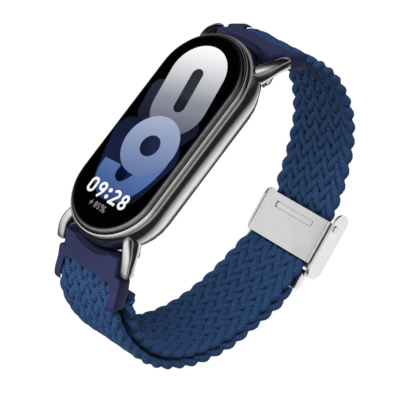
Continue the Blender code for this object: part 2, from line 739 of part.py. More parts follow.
def make_clasp_cover(parent):
    """The outer cover: a plate between two side flanges, with a ribbed pad that presses the braid."""
    outer = FLANGE_X + FLANGE_SHEET
    cover = add_piece("clasp_cover",
                      clasp_block((-outer + 0.1, -FLANGE_END_T + 1.2, COVER_OUTER_N - COVER_SHEET),
                                  (outer - 0.1, COVER_PLATE_END_T, COVER_OUTER_N), 0.12),
                      "stainless", parent)
    for side, end_t in ((-1, LEFT_FLANGE_END_T), (1, FLANGE_END_T)):
        low, high = sorted((side * FLANGE_X, side * outer))
        cut(cover, flange(low, high, end_t), "UNION")
    cut(cover, clasp_drum(0, HINGE_T, HINGE_N, 0.56, 30.0))

    add_piece("pressure_pad", clasp_block((-7.8, -2.2, 2.95), (7.8, 1.6, 3.75), 0.15),
              "stainless", parent)


def make_hinge_pins(parent):
    for name, side in (("cover_hinge_pin_right", 1), ("cover_hinge_pin_left", -1)):
        pin = add_piece(name, clasp_drum(side * 9.22, HINGE_T, HINGE_N, 0.5, 1.34), "stainless", parent)
        cut(pin, clasp_drum(side * 9.98, HINGE_T, HINGE_N, 0.72, 0.24), "UNION")


def make_crimp(parent):
    """The folded metal end of the short strap, hollowed in front where it meets the link bar."""
    crimp = add_piece("strap_end_crimp", clasp_block((-8.3, -10.5, 1.25), (8.3, -6.8, 2.75), 0.2),
                      "stainless", parent)
    cut(crimp, clasp_drum(0, LINK_T, LINK_N, LINK_RADIUS + 0.25, 30.0))


# ---------------------------------------------------------------- assembly

def build():
    short_path = short_strap_path()
    long_path = long_strap_path(short_path)
    upper_pivot = add_joint("upper_strap_pivot", 0, PIVOT_Y, PIVOT_Z)
    lower_pivot = add_joint("lower_strap_pivot", 0, -PIVOT_Y, PIVOT_Z)
    hinge_y, hinge_z = clasp_point(HINGE_T, HINGE_N)
    cover_hinge = add_joint("clasp_cover_hinge", 0, hinge_y, hinge_z)
    motor_spin = add_joint("motor_spin", 0, 15.0, -5.1)

    make_case()
    make_inside()
    make_motor(motor_spin)
    make_back()
    for side, end, path, arm_end, pivot in (("upper", 1, long_path, UPPER_ARM_END, upper_pivot),
                                            ("lower", -1, short_path, LOWER_ARM_END, lower_pivot)):
        make_bracket(side + "_lug_bracket", end)
        button_slide = add_joint(side + "_release_slide", 0, end * 22.4, -10.0)
        make_release_button(side + "_release_button", end, button_slide)
        make_connector(side + "_connector", path, end, arm_end, pivot)
        plunger_slide = add_joint(side + "_plunger_slide", 0, end * PIVOT_Y, PIVOT_Z)
        make_spring_bar(side, path, end, pivot, plunger_slide)

    make_short_strap(short_path, lower_pivot)
    make_crimp(lower_pivot)
    clasp_middle = nearest_distance(long_path, *clasp_point(0, 1.9))
    make_long_strap(long_path, clasp_middle - BASE_HALF_LENGTH, clasp_middle + BASE_HALF_LENGTH, upper_pivot)
    make_clasp_base(upper_pivot)
    make_hinge_pins(upper_pivot)
    make_clasp_cover(cover_hinge)


def nearest_distance(path, y, z):
    """How far along a path its nearest point to (y, z) is."""
    target = Vector((0, y, z))
    nearest = min(range(len(path.points)), key=lambda index: (path.points[index] - target).length)
    return path.lengths[nearest]


clear_scene()
assembly = new_collection("fitness_tracker_band")
cutters = new_collection("cutters")
build()
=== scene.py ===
import json
import math

import bmesh
import bpy
from mathutils import Matrix, Vector

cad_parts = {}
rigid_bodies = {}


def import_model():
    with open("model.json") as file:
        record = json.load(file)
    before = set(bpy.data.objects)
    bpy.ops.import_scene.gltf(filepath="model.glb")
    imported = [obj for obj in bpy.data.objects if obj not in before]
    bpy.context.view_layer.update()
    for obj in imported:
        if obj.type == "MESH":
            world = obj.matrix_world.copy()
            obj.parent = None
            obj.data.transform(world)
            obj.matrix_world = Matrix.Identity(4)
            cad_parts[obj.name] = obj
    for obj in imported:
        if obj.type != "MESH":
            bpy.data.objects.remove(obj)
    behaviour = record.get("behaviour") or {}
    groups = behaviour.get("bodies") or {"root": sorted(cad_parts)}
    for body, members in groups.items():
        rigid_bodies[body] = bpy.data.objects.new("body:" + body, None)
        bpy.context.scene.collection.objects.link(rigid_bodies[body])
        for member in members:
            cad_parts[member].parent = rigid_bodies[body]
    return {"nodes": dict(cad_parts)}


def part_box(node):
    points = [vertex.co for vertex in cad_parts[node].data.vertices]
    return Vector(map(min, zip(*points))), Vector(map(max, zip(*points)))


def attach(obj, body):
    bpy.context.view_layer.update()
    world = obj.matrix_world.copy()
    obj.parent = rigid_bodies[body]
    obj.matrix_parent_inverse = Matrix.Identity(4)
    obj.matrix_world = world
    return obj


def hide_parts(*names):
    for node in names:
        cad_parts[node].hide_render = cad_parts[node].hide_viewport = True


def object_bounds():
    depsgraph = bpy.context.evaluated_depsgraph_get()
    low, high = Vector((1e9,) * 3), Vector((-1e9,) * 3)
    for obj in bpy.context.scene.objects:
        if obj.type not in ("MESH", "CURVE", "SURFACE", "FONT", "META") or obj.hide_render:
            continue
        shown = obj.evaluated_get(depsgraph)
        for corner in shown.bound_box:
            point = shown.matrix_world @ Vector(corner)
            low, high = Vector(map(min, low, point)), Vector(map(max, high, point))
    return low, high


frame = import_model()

# The looks of a fitness tracker band. Lengths are millimetres around the middle of the cover
# glass's top: +X to the display's right, +Y to its upper end, +Z out of the glass. Strap lengths
# are measured along a strap from its pivot.

MM = 0.001

# Case
CASE_HALF_WIDTH = 10.8
CASE_HALF_LENGTH = 23.25
FRAME_TOP_Z = -0.9
FRAME_BOTTOM_Z = -7.8
FRAME_TOP_ROUND = 0.75
FRAME_BOTTOM_ROUND = 2.9
GLASS_POCKET_INSET = 0.8
GLASS_POCKET_Z = -2.1
BORE_INSET = 1.75
GLASS_INSET = 0.95
GLASS_EDGE_ROUND = 1.0
GLASS_THICKNESS = 1.5
BACK_BOTTOM_Z = -9.6
ARC_STEPS = 48
CLEARANCE = 0.05
# The frame's outer wall from the glass down: (bend radius, slope at its end in degrees)
FRAME_WALL = ((0.3, 40), (2.1, 20), (2.5, 6), (14.0, -6), (2.95, -66))

# Lugs and strap pivots
LUG_X = 9.3
PIVOT_Y = 24.1
PIVOT_Z = -6.5
BRACKET_ARC_RADIUS = 9.1
BRACKET_ARC_Z = -9.3
BRACKET_RADIUS = 1.3
LUG_SQUARENESS = 3.4
# A lug's (x, y, z, half width, half height) from beyond its pivot to the case's side
LUG_ROUTE = ((LUG_X, 24.8, -7.2, 1.05, 1.1), (LUG_X, PIVOT_Y, PIVOT_Z, 1.1, 1.15),
             (9.15, 22.6, -5.5, 1.1, 1.3), (8.6, 21.1, -5.0, 1.1, 1.65),
             (7.8, 19.6, -4.8, 1.0, 1.95), (7.0, 18.4, -4.8, 0.8, 2.0))
# Each half of the bar under the case, in the same terms, before its round middle stretch
BAR_ROUTE = ((8.5, 22.0, -6.0, 0.7, 0.7), (7.2, 20.6, -8.0, 0.75, 0.75), (6.2, 20.2, -8.9, 0.95, 0.95))
BAR_ARC_DEGREES = (57, 72, 90)
BAR_CAP_LENGTH = 0.18
BAR_CAP_SHARE = 0.86       # a bar's rounded end against its full section
LUG_HOLE_X = 8.6
LUG_HOLE_RADIUS = 0.6
LUG_HOLE_LENGTH = 1.2
UPPER_TILT = 54.0
LOWER_TILT = 41.0
STRAP_SWING = 50

# Braid
STRAND_COUNT = 17
GRAIN_PITCH = 3.3          # between two grains of one column
STRAND_HALF_WIDTH = 0.76
STRAND_HALF_HEIGHT = 0.6
WEAVE_HEIGHT = 0.45        # a strand's rise and fall about the strap's middle
EDGE_ROUNDING = 0.5        # crossings over which a strand turns back at the strap's edge
EDGE_WRAP = 1.5            # crossings each side of the edge over which a strand wraps round it
EDGE_SWELL = 0.45          # how much thicker a strand is where it wraps round the edge
STRAND_STEP = 0.45
STRAND_MARGIN = 0.62       # from a strand's middle to the strap's edge, where it turns back
STRAND_SIDES = 10
RIB_PITCH = 0.46           # between two knitted ribs along a strand
STRAP_HALF_WIDTH = 8.6
TIP_HALF_WIDTH = 8.0
STRAP_THICKNESS = 2.0
NECK_THINNING = 0.2
NECK_NARROWING = 0.5
CLASP_STRAP_THICKNESS = 1.4
CHANNEL_STRAP_HALF_WIDTH = 8.1
LAYER_PITCH = 2.3
TAIL_END_PITCH = 3.75
TAIL_TIP_LENGTH = 1.3
STRAP_START = 3.2

# Connector
TONGUE_HALF_WIDTH = 7.6
SHOULDER_HALF_WIDTH = 8.95
TONGUE_START = -1.75
SHOULDER_START = 1.9
POCKET_START = 2.9
MOUTH_START = 3.6
UPPER_ARM_END = 7.0
LOWER_ARM_END = 8.6
CONNECTOR_INNER = -1.65
CONNECTOR_OUTER = 1.4
POCKET_HALF_WIDTH = 8.35
POCKET_HALF_HEIGHT = 1.1
MOUTH_HALF_WIDTH = 7.1
BAR_BORE_RADIUS = 0.7
KNOB_X = 4.4
RIM_ROUND = 0.5
SHOULDER_ROUND = 0.7
MOUTH_ROUND = 1.6
SWING_GAP = 0.3

# Clasp, in a frame of its own: t along the strap towards the upper connector, n outward
CLASP_Y = 5.85
CLASP_Z = -47.8
CLASP_SLOPE = math.radians(12.4)
BASE_HALF_LENGTH = 4.6
BASE_HALF_WIDTH = 8.5
BASE_SHEET = 0.45
WALL_SHEET = 0.5
WALL_DEPTH = 3.3
EAR_END_T = -7.2
SLOT_T = 2.5
SLOT_HALF_LENGTH = 5.3
SLOT_HALF_WIDTH = 0.7
FLANGE_X = 9.3
FLANGE_SHEET = 0.5
FLANGE_END_T = 7.1
LEFT_FLANGE_END_T = 5.0
COVER_OUTER_N = 4.6
COVER_SHEET = 0.6
COVER_PLATE_END_T = 3.0
HINGE_T = 3.8
HINGE_N = 1.8
LINK_T = -6.65
LINK_N = 1.95
LINK_RADIUS = 0.45
LINK_GAP = 0.04
HINGE_BORE_RADIUS = 0.56
FLANGE_INNER_N = 0.55
BASE_BEND = 0.55

# Camera: it aims at a point low in the loop, from the display's right
CAMERA_AIM = (0.0, -3.35, -21.65)
CAMERA_AZIMUTH = 79.19
CAMERA_ELEVATION = 48.84
CAMERA_ROLL = -44.89
CAMERA_DISTANCE = 439.8
CAMERA_LENS = 206.5

# Studio light: brightness by the height of a direction (-1 down, 1 up) and by its side
WORLD_STRENGTH = 1.05
WORLD_BY_HEIGHT = ((-1.0, 0.01), (-0.2, 0.02), (0.1, 0.3), (0.42, 0.8), (0.7, 1.0), (1.0, 1.0))
WORLD_BY_SIDE = ((-1.0, 0.03), (-0.6, 0.04), (0.0, 0.5), (0.3, 1.0))
GLASS_FLAG = (-0.67, 0.14, 0.73)
FLAG_STOPS = ((-1.0, 1.0), (0.965, 1.0), (0.988, 0.02), (1.0, 0.02))

# Stage, in metres
STAGE_RADIUS = 1.5
CARD_RADIUS = 0.4
FLOOR_DROP = 0.0002
CARD_DROP = 0.0003
DISC_SIDES = 96

SMOOTH_ANGLE = 35


# ---------------------------------------------------------------- frame

glass_low, glass_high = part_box("cover_glass")
ORIGIN = Vector(((glass_low.x + glass_high.x) / 2, (glass_low.y + glass_high.y) / 2, glass_high.z))
TO_FRAME = Matrix.Translation(ORIGIN) @ Matrix.Scale(MM, 4)
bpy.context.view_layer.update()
tools = []      # cutters, removed once their cuts are made


def place(x, y, z):
    """A point given in millimetres around the glass, in the finished frame."""
    return ORIGIN + Vector((x, y, z)) * MM


def add_piece(name, mesh, material, body, replaces=(), smooth_angle=SMOOTH_ANGLE):
    """Puts a mesh drawn in millimetres around the glass on a CAD body."""
    mesh.transform(TO_FRAME)
    piece = bpy.data.objects.new(name, mesh)
    bpy.context.scene.collection.objects.link(piece)
    mesh.materials.clear()
    mesh.materials.append(material)
    mesh.shade_smooth()
    mesh.set_sharp_from_angle(angle=math.radians(smooth_angle))
    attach(piece, body)
    if replaces:
        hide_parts(*replaces)
    return piece


def cut(piece, mesh, operation="DIFFERENCE"):
    """Cuts a mesh drawn in millimetres around the glass out of a piece, or joins it on."""
    mesh.transform(TO_FRAME)
    tool = bpy.data.objects.new(piece.name + "_tool", mesh)
    bpy.context.scene.collection.objects.link(tool)
    tools.append(tool)
    modifier = piece.modifiers.new(tool.name, "BOOLEAN")
    modifier.operation = operation
    modifier.solver = "EXACT"
    modifier.object = tool


def finish_cuts():
    """Turns every cut into plain mesh and removes the tools."""
    bpy.context.view_layer.update()
    graph = bpy.context.evaluated_depsgraph_get()
    for piece in [item for item in bpy.context.scene.objects if item.modifiers]:
        material = piece.data.materials[0]
        mesh = bpy.data.meshes.new_from_object(piece.evaluated_get(graph))
        piece.modifiers.clear()
        piece.data = mesh
        mesh.materials.clear()
        mesh.materials.append(material)
        mesh.shade_smooth()
        mesh.set_sharp_from_angle(angle=math.radians(SMOOTH_ANGLE))
    for tool in tools:
        bpy.data.objects.remove(tool)


# ---------------------------------------------------------------- plain shapes

def mesh_from(build):
    """A mesh from a function that fills a bmesh."""
    work = bmesh.new()
    build(work)
    mesh = bpy.data.meshes.new("shape")
    work.to_mesh(mesh)
    work.free()
    return mesh


def block(low, high, rounding=0.0, segments=3):
    """A box between two corners, with its edges rounded."""
    low, high = Vector(low), Vector(high)

    def build(work):
        size = Matrix.Diagonal((*(high - low), 1.0))
        bmesh.ops.create_cube(work, size=1.0, matrix=Matrix.Translation((low + high) / 2) @ size)
        if rounding:
            bmesh.ops.bevel(work, geom=work.edges[:], offset=rounding, segments=segments,
                            profile=0.5, affect="EDGES")
    return mesh_from(build)


def drum(centre, radius, length):
    """A cylinder about a centre, lying along X."""
    turn = Matrix.Rotation(math.pi / 2, 4, "Y")

    def build(work):
        bmesh.ops.create_cone(work, cap_ends=True, segments=48, radius1=radius, radius2=radius,
                              depth=length, matrix=Matrix.Translation(centre) @ turn)
    return mesh_from(build)


def join_rings(work, ring, following):
    """Faces all the way round between two rings of corners."""
    for index in range(len(ring)):
        after = (index + 1) % len(ring)
        work.faces.new((ring[index], ring[after], following[after], following[index]))


def flat_shape(outline, low, high):
    """A flat outline in X and Y, filled and given a thickness from low to high."""
    def build(work):
        bottom = [work.verts.new((x, y, low)) for x, y in outline]
        top = [work.verts.new((x, y, high)) for x, y in outline]
        work.faces.new(bottom)
        work.faces.new(top)
        join_rings(work, bottom, top)
        bmesh.ops.recalc_face_normals(work, faces=work.faces)
    return mesh_from(build)


def round_rims(mesh, z, offset, segments):
    """Rounds the outer edges of a flat shape that lie at height z."""
    work = bmesh.new()
    work.from_mesh(mesh)
    rim = [edge for edge in work.edges
           if all(abs(vert.co.z - z) < 1e-4 for vert in edge.verts) and edge.calc_face_angle(0) > 0.8]
    bmesh.ops.bevel(work, geom=rim, offset=offset, segments=segments, profile=0.5,
                    affect="EDGES", clamp_overlap=False)
    bmesh.ops.remove_doubles(work, verts=work.verts, dist=1e-4)
    work.to_mesh(mesh)
    work.free()
    return mesh


def arc(centre, radii, start, end, steps=24):
    """Points of an elliptical arc between two angles in degrees."""
    made = []
    for step in range(steps + 1):
        angle = math.radians(start + (end - start) * step / steps)
        made.append((centre[0] + radii[0] * math.cos(angle), centre[1] + radii[1] * math.sin(angle)))
    return made


def stadium(inset):
    """The case's outline, a rectangle with round ends, moved in by inset."""
    radius = CASE_HALF_WIDTH - inset
    centre = CASE_HALF_LENGTH - CASE_HALF_WIDTH
    return (arc((0, centre), (radius, radius), 0, 180, ARC_STEPS)
            + arc((0, -centre), (radius, radius), 180, 360, ARC_STEPS))


def swept_stadium(profile, closed):
    """A profile of (inset, z) points carried round the case's outline."""
    def build(work):
        rings = []
        for inset, z in profile:
            rings.append([work.verts.new((x, y, z)) for x, y in stadium(inset)])
        pairs = list(zip(rings, rings[1:]))
        if closed:
            pairs.append((rings[-1], rings[0]))
        else:
            work.faces.new(rings[0])
            work.faces.new(rings[-1])
        for ring, following in pairs:
            join_rings(work, ring, following)
        bmesh.ops.recalc_face_normals(work, faces=work.faces)
    return mesh_from(build)


def swept_section(points, sizes, section):
    """A closed section of (side, up) points, scaled to a (width, height) at each point of a path,
    with softly rounded ends."""
    before = [points[0], *points[:-1]]
    after = [*points[1:], points[-1]]
    tangents = [(end - start).normalized() for start, end in zip(before, after)]
    rings = []
    side = Vector((1, 0, 0))
    for point, tangent, (wide, tall) in zip(points, tangents, sizes):
        side = (side - tangent * side.dot(tangent)).normalized()
        up = tangent.cross(side)
        rings.append([point + side * (a * wide) + up * (b * tall) for a, b in section])

    def cap(index, sign):
        """The smaller ring just beyond one end of the path."""
        shift = tangents[index] * (sign * BAR_CAP_LENGTH)
        return [points[index] + (spot - points[index]) * BAR_CAP_SHARE + shift for spot in rings[index]]

    rings = [cap(0, -1), *rings, cap(-1, 1)]

    def build(work):
        made = [[work.verts.new(spot) for spot in ring] for ring in rings]
        for ring, following in zip(made, made[1:]):
            join_rings(work, ring, following)
        work.faces.new(made[0])
        work.faces.new(made[-1])
        bmesh.ops.recalc_face_normals(work, faces=work.faces)
    return mesh_from(build)


def soft_square(power):
    """A section between a circle and a square: a power of 2 is round, a higher one squarer."""
    section = []
    for cosine, sine in arc((0, 0), (1, 1), 0, 360, 28)[:-1]:
        reach = (abs(cosine) ** power + abs(sine) ** power) ** (-1 / power)
        section.append((reach * cosine, reach * sine))
    return section


def smooth_points(controls, per_span):
    """Points on a Catmull-Rom curve through a few control points."""
    controls = [Vector(point) for point in controls]
    ends = [controls[0] * 2 - controls[1], *controls, controls[-1] * 2 - controls[-2]]
    points = []
    for before, start, end, after in zip(ends, ends[1:], ends[2:], ends[3:]):
        for step in range(per_span):
            u = step / per_span
            points.append(0.5 * (2 * start + (end - before) * u
                                 + (2 * before - 5 * start + 4 * end - after) * u ** 2
                                 + (3 * start - before - 3 * end + after) * u ** 3))
    points.append(controls[-1])
    return points


def running_lengths(points):
    """How far along its points a line is at each of them."""
    lengths = [0.0]
    for before, after in zip(points, points[1:]):
        lengths.append(lengths[-1] + (after - before).length)
    return lengths


def blend(value, start, end):
    """0 before start and 1 after end, smooth between."""
    share = min(max((value - start) / (end - start), 0.0), 1.0)
    return share * share * (3 - 2 * share)


# ---------------------------------------------------------------- strap paths

class StrapPath:
    """A strap's middle line in the Y-Z plane, measured along its length from the pivot."""

    def __init__(self, controls, outward_sign):
        self.points = smooth_points([(0, y, z) for y, z in controls], 16)
        self.outward_sign = outward_sign
        self.lengths = running_lengths(self.points)

    @property
    def total(self):
        return self.lengths[-1]

    def at(self, distance):
        """The point and the direction at a distance; straight on beyond either end."""
        last = len(self.points) - 2
        index = 0
        while index < last and self.lengths[index + 1] < distance:
            index += 1
        start, end = self.points[index], self.points[index + 1]
        direction = (end - start).normalized()
        return start + direction * (distance - self.lengths[index]), direction

    def outward(self, distance):
        """The direction out of the loop, from points a little before and after."""
        reach = 0.4
        along = (self.at(distance + reach)[0] - self.at(distance - reach)[0]).normalized()
        return Vector((0, -along.z, along.y)) * self.outward_sign

    def bend(self, x, distance, height):
        """Flat strap coordinates turned into a point around the glass."""
        return Vector((x, 0, 0)) + self.at(distance)[0] + self.outward(distance) * height


def clasp_point(t, n):
    """Clasp coordinates as (y, z) around the glass."""
    y = CLASP_Y + t * math.cos(CLASP_SLOPE) + n * math.sin(CLASP_SLOPE)
    z = CLASP_Z + t * math.sin(CLASP_SLOPE) - n * math.cos(CLASP_SLOPE)
    return y, z


def along_tilt(end, tilt, distance):
    """A point on the straight line that a connector hangs along; end is 1 above and -1 below."""
    angle = math.radians(tilt)
    return end * (PIVOT_Y + distance * math.cos(angle)), PIVOT_Z - distance * math.sin(angle)


def short_strap_path():
    """From the lower connector round the lower end to the crimp at the clasp's link bar."""
    controls = [along_tilt(-1, LOWER_TILT, distance) for distance in (0.0, 4.5)]
    controls += [(-30.6, -11.8), (-33.1, -17.2), (-34.0, -24.5), (-32.8, -32.4), (-28.6, -39.6),
                 (-24.0, -43.9), (-20.0, -46.53), (-16.7, -47.77), (-13.4, -49.02), (-10.1, -50.26),
                 clasp_point(-10.6, LINK_N)]
    return StrapPath(controls, -1)


def long_strap_path(short_path):
    """Round the upper end, through the clasp, then back up inside the short strap."""
    controls = [along_tilt(1, UPPER_TILT, distance) for distance in (0.0, 4.5)]
    controls += [(28.7, -13.6), (30.2, -19.0), (30.4, -25.0), (28.5, -32.5), (24.2, -39.0), (17.9, -44.1)]
    controls += [clasp_point(t, n) for t, n in ((7.4, 0.6), (4.4, 1.85), (0.0, 1.9), (-4.2, 1.8),
                                                (-6.5, 0.1), (-8.8, -0.65))]
    for back in (16.0, 24.0, 32.0, 40.0, 48.0, 56.0):
        point = short_path.bend(0, short_path.total - back + 8.0, -LAYER_PITCH)
        controls.append((point.y, point.z))
    for distance, pitch in ((15.0, LAYER_PITCH + 0.5), (9.0, TAIL_END_PITCH), (5.5, TAIL_END_PITCH)):
        point = short_path.bend(0, distance, -pitch)
        controls.append((point.y, point.z))
    return StrapPath(controls, 1)


def nearest_distance(path, y, z):
    """How far along a path its nearest point to (y, z) is."""
    target = Vector((0, y, z))
    nearest = min(range(len(path.points)), key=lambda index: (path.points[index] - target).length)
    return path.lengths[nearest]


def bent(mesh, path, start, end, step=0.6):
    """Wraps a mesh drawn flat, Y along the strap and Z outward, on to a strap's path."""
    work = bmesh.new()
    work.from_mesh(mesh)
    count = int((end - start) / step)
    for index in range(1, count):
        bmesh.ops.bisect_plane(work, geom=work.verts[:] + work.edges[:] + work.faces[:],
                               plane_co=(0, start + index * (end - start) / count, 0),
                               plane_no=(0, 1, 0))
    for vert in work.verts:
        vert.co = path.bend(*vert.co)
    work.normal_update()
    bmesh.ops.recalc_face_normals(work, faces=work.faces)
    bmesh.ops.triangulate(work, faces=work.faces)
    work.to_mesh(mesh)
    work.free()
    return mesh


# ---------------------------------------------------------------- material nodes

def fill_ramp(ramp, stops):
    """Gives a colour ramp its stops, as (place, colour)."""
    while len(ramp.elements) < len(stops):
        ramp.elements.new(0.5)
    for element, (spot, colour) in zip(ramp.elements, stops):
        element.position = spot
        element.color = (*colour, 1.0)


class Paint:
    """A material's node tree, with short ways to add the nodes that these materials share."""

    def __init__(self, name, **settings):
        self.material = bpy.data.materials.new(name)
        self.material.use_nodes = True
        self.tree = self.material.node_tree
        self.shader = self.tree.nodes["Principled BSDF"]
        for key, value in settings.items():
            self.shader.inputs[key.replace("_", " ")].default_value = value

    def node(self, kind, **inputs):
        """A new node, with values or other nodes' outputs given to its inputs."""
        made = self.tree.nodes.new("ShaderNode" + kind)
        for key, value in inputs.items():
            self.feed(made.inputs[key.replace("_", " ")], value)
        return made

    def feed(self, socket, value):
        """Links an output to a socket, or sets the socket's own value."""
        if isinstance(value, bpy.types.NodeSocket):
            self.tree.links.new(value, socket)
        else:
            socket.default_value = value

    def set(self, socket, value):
        """Feeds one of the surface shader's inputs."""
        self.feed(self.shader.inputs[socket], value)

    def position(self, stretch=(1, 1, 1)):
        """Object coordinates in millimetres, stretched along each axis."""
        place_node = self.node("TexCoord")
        scaled = self.node("Mapping", Scale=tuple(1000 * part for part in stretch))
        self.tree.links.new(place_node.outputs["Object"], scaled.inputs["Vector"])
        return scaled.outputs["Vector"]

    def noise(self, scale, stretch=(1, 1, 1), detail=3.0):
        """Smooth noise from 0 to 1; scale is in cells a millimetre."""
        made = self.node("TexNoise", Vector=self.position(stretch), Scale=scale, Detail=detail)
        return made.outputs["Fac"]

    def math(self, operation, first, second=0.0):
        made = self.node("Math")
        made.operation = operation
        self.feed(made.inputs[0], first)
        self.feed(made.inputs[1], second)
        return made.outputs[0]

    def mix(self, first, first_share, second, second_share):
        """The sum of a share of each of two values."""
        return self.math("ADD", self.math("MULTIPLY", first, first_share),
                         self.math("MULTIPLY", second, second_share))

    def ramp(self, factor, stops):
        """Colours over a factor; stops are (place, colour)."""
        made = self.node("ValToRGB", Fac=factor)
        fill_ramp(made.color_ramp, stops)
        return made.outputs["Color"]

    def grey(self, factor, low, high):
        """A factor from 0.3 to 0.7 turned into a value from low to high."""
        made = self.node("MapRange", Value=factor)
        made.inputs["From Min"].default_value = 0.3
        made.inputs["From Max"].default_value = 0.7
        made.inputs["To Min"].default_value = low
        made.inputs["To Max"].default_value = high
        return made.outputs["Result"]

    def bump(self, height, depth):
        """Surface relief; depth is in millimetres."""
        made = self.node("Bump", Height=height, Distance=depth * MM, Strength=1.0)
        self.set("Normal", made.outputs["Normal"])


def plain(name, colours, roughness, grain=2.0, depth=0.01, **settings):
    """A surface whose colour, roughness and relief all vary with the same grain."""
    paint = Paint(name, **settings)
    grains = paint.noise(grain)
    paint.set("Base Color", paint.ramp(grains, ((0.3, colours[0]), (0.7, colours[1]))))
    paint.set("Roughness", paint.grey(grains, *roughness))
    paint.bump(grains, depth)
    return paint.material


def make_braid_material():
    """Thick yarn: knitted ribs across each strand, soft sheen, uneven dye from a fine fuzz that also darkens
    the colour where it lowers the surface, and painted shade that darkens the grooves between the ribs.
    """
    paint = Paint("braid_yarn", Sheen_Weight=0.08, Sheen_Roughness=0.45, Roughness=0.78,
                  Sheen_Tint=(0.35, 0.5, 0.85, 1.0), Specular_IOR_Level=0.25)
    uv = paint.node("UVMap")
    uv.uv_map = "strand"
    split = paint.node("SeparateXYZ", Vector=uv.outputs["UV"])
    wobble = paint.math("MULTIPLY", paint.noise(1.6), 0.35)
    along = paint.math("ADD", split.outputs["Y"], wobble)
    lean = paint.math("PINGPONG", paint.math("MULTIPLY", split.outputs["X"], 6.0), 0.5)
    turns = paint.math("ADD", paint.math("MULTIPLY", along, 1 / RIB_PITCH), lean)
    rib = paint.math("SINE", paint.math("MULTIPLY", turns, 2 * math.pi))
    rib = paint.math("ADD", paint.math("MULTIPLY", rib, 0.5), 0.5)
    fuzz = paint.noise(6.0, detail=4.0)
    paint.bump(paint.mix(rib, 0.75, fuzz, 0.4), 0.09)
    # Painted shade: the colour follows the rib wave of the bump, so the grooves between ribs are darker; the
    # fuzz part is uneven dye, darker where it lowers the surface.
    shade = paint.mix(rib, 0.3, fuzz, 0.6)
    paint.set("Base Color", paint.ramp(shade, ((0.12, (0.003, 0.012, 0.04)), (0.5, (0.017, 0.05, 0.135)),
                                               (0.88, (0.06, 0.135, 0.29)))))
    return paint.material


def make_brushed(name, light, roughness, direction):
    """Brushed metal: fine scratches stretched along one direction."""
    paint = Paint(name, Metallic=1.0)
    scratches = paint.noise(14.0, direction, 2.0)
    cloud = paint.noise(0.35, detail=2.0)
    both = paint.mix(scratches, 0.6, cloud, 0.4)
    dark, bright = light
    colours = (dark, dark, dark * 1.01), (bright, bright, bright)
    paint.set("Base Color", paint.ramp(both, ((0.3, colours[0]), (0.7, colours[1]))))
    paint.set("Roughness", paint.grey(scratches, *roughness))
    paint.bump(scratches, 0.004)
    return paint.material


def make_glow(name, stops, low_y, high_y, tilt=0.0):
    """A lit part of the display, shaded from one end to the other under the glass's gloss."""
    paint = Paint(name, Base_Color=(0.004, 0.004, 0.005, 1.0), Roughness=0.05, Specular_IOR_Level=0.2,
                  Emission_Strength=1.0)
    split = paint.node("SeparateXYZ", Vector=paint.position())
    leaning = paint.math("ADD", split.outputs["Y"], paint.math("MULTIPLY", split.outputs["X"], tilt))
    start = low_y + ORIGIN.y / MM
    share = paint.math("DIVIDE", paint.math("SUBTRACT", leaning, start), high_y - low_y)
    paint.set("Emission Color", paint.ramp(share, stops))
    return paint.material


def make_materials():
    """Every material that pieces and kept nodes share, by a short name."""
    made = {}
    paint = Paint("black_glass", Base_Color=(0.0003, 0.0003, 0.0004, 1.0), Specular_IOR_Level=0.12)
    paint.set("Roughness", paint.grey(paint.noise(0.12), 0.02, 0.06))
    made["glass"] = paint.material
    made["glass_edge"] = plain("glass_edge", ((0.2, 0.2, 0.21), (0.26, 0.26, 0.27)), (0.1, 0.18), grain=1.0,
                               depth=0.0003, Metallic=1.0)
    made["frame"] = plain("polished_gunmetal", ((0.68, 0.675, 0.66), (0.75, 0.745, 0.73)), (0.06, 0.12),
                          grain=3.0, depth=0.0003, Metallic=1.0)
    made["plastic"] = plain("black_plastic", ((0.012, 0.012, 0.014), (0.022, 0.022, 0.024)), (0.38, 0.52),
                            grain=5.0, depth=0.01)
    made["rubber"] = plain("seal_rubber", ((0.01, 0.01, 0.01), (0.02, 0.02, 0.02)), (0.7, 0.85), grain=4.0)
    made["polymer"] = plain("navy_polymer", ((0.010, 0.013, 0.048), (0.015, 0.019, 0.066)), (0.4, 0.52),
                            grain=5.0, depth=0.006, Specular_IOR_Level=0.3)
    made["braid"] = make_braid_material()
    made["steel"] = make_brushed("brushed_steel", (0.74, 0.86), (0.3, 0.42), (0.12, 2.0, 2.0))
    made["bright_steel"] = make_brushed("bright_steel", (0.66, 0.8), (0.16, 0.26), (0.3, 3.0, 3.0))
    made["gold"] = plain("gold_plate", ((0.75, 0.48, 0.16), (0.9, 0.62, 0.26)), (0.15, 0.28), Metallic=1.0)
    made["board"] = plain("solder_mask", ((0.01, 0.1, 0.035), (0.02, 0.15, 0.06)), (0.3, 0.5), grain=1.5)
    made["foil"] = plain("battery_foil", ((0.4, 0.41, 0.43), (0.55, 0.56, 0.58)), (0.25, 0.4), grain=0.8,
                         depth=0.05, Metallic=0.8)
    made["film"] = plain("amber_film", ((0.4, 0.17, 0.03), (0.6, 0.28, 0.06)), (0.3, 0.4))
    made["panel"] = plain("display_panel", ((0.01, 0.015, 0.05), (0.02, 0.03, 0.08)), (0.1, 0.2))
    return made


# Nodes that stay as they are, by their material
KEPT_NODES = {
    "plastic": ("inner_chassis", "back_cover", "processor_chip", "upper_release_button",
                "lower_release_button"),
    "rubber": ("glass_seal", "back_seal"),
    "panel": ("display_panel",),
    "film": ("display_flex",),
    "foil": ("battery_cell",),
    "board": ("main_board", "sensor_board"),
    "glass": ("sensor_window",),
    "gold": ("charge_contact_upper", "charge_contact_lower"),
    "bright_steel": ("motor_case", "motor_weight", "upper_bar_tube", "lower_bar_tube",
                     "upper_bar_spring", "lower_bar_spring", "upper_bar_plunger",
                     "lower_bar_plunger", "link_bar", "cover_hinge_pin_left",
                     "cover_hinge_pin_right"),
    "steel": ("grip_liner", "strap_end_crimp", "pressure_pad"),
}


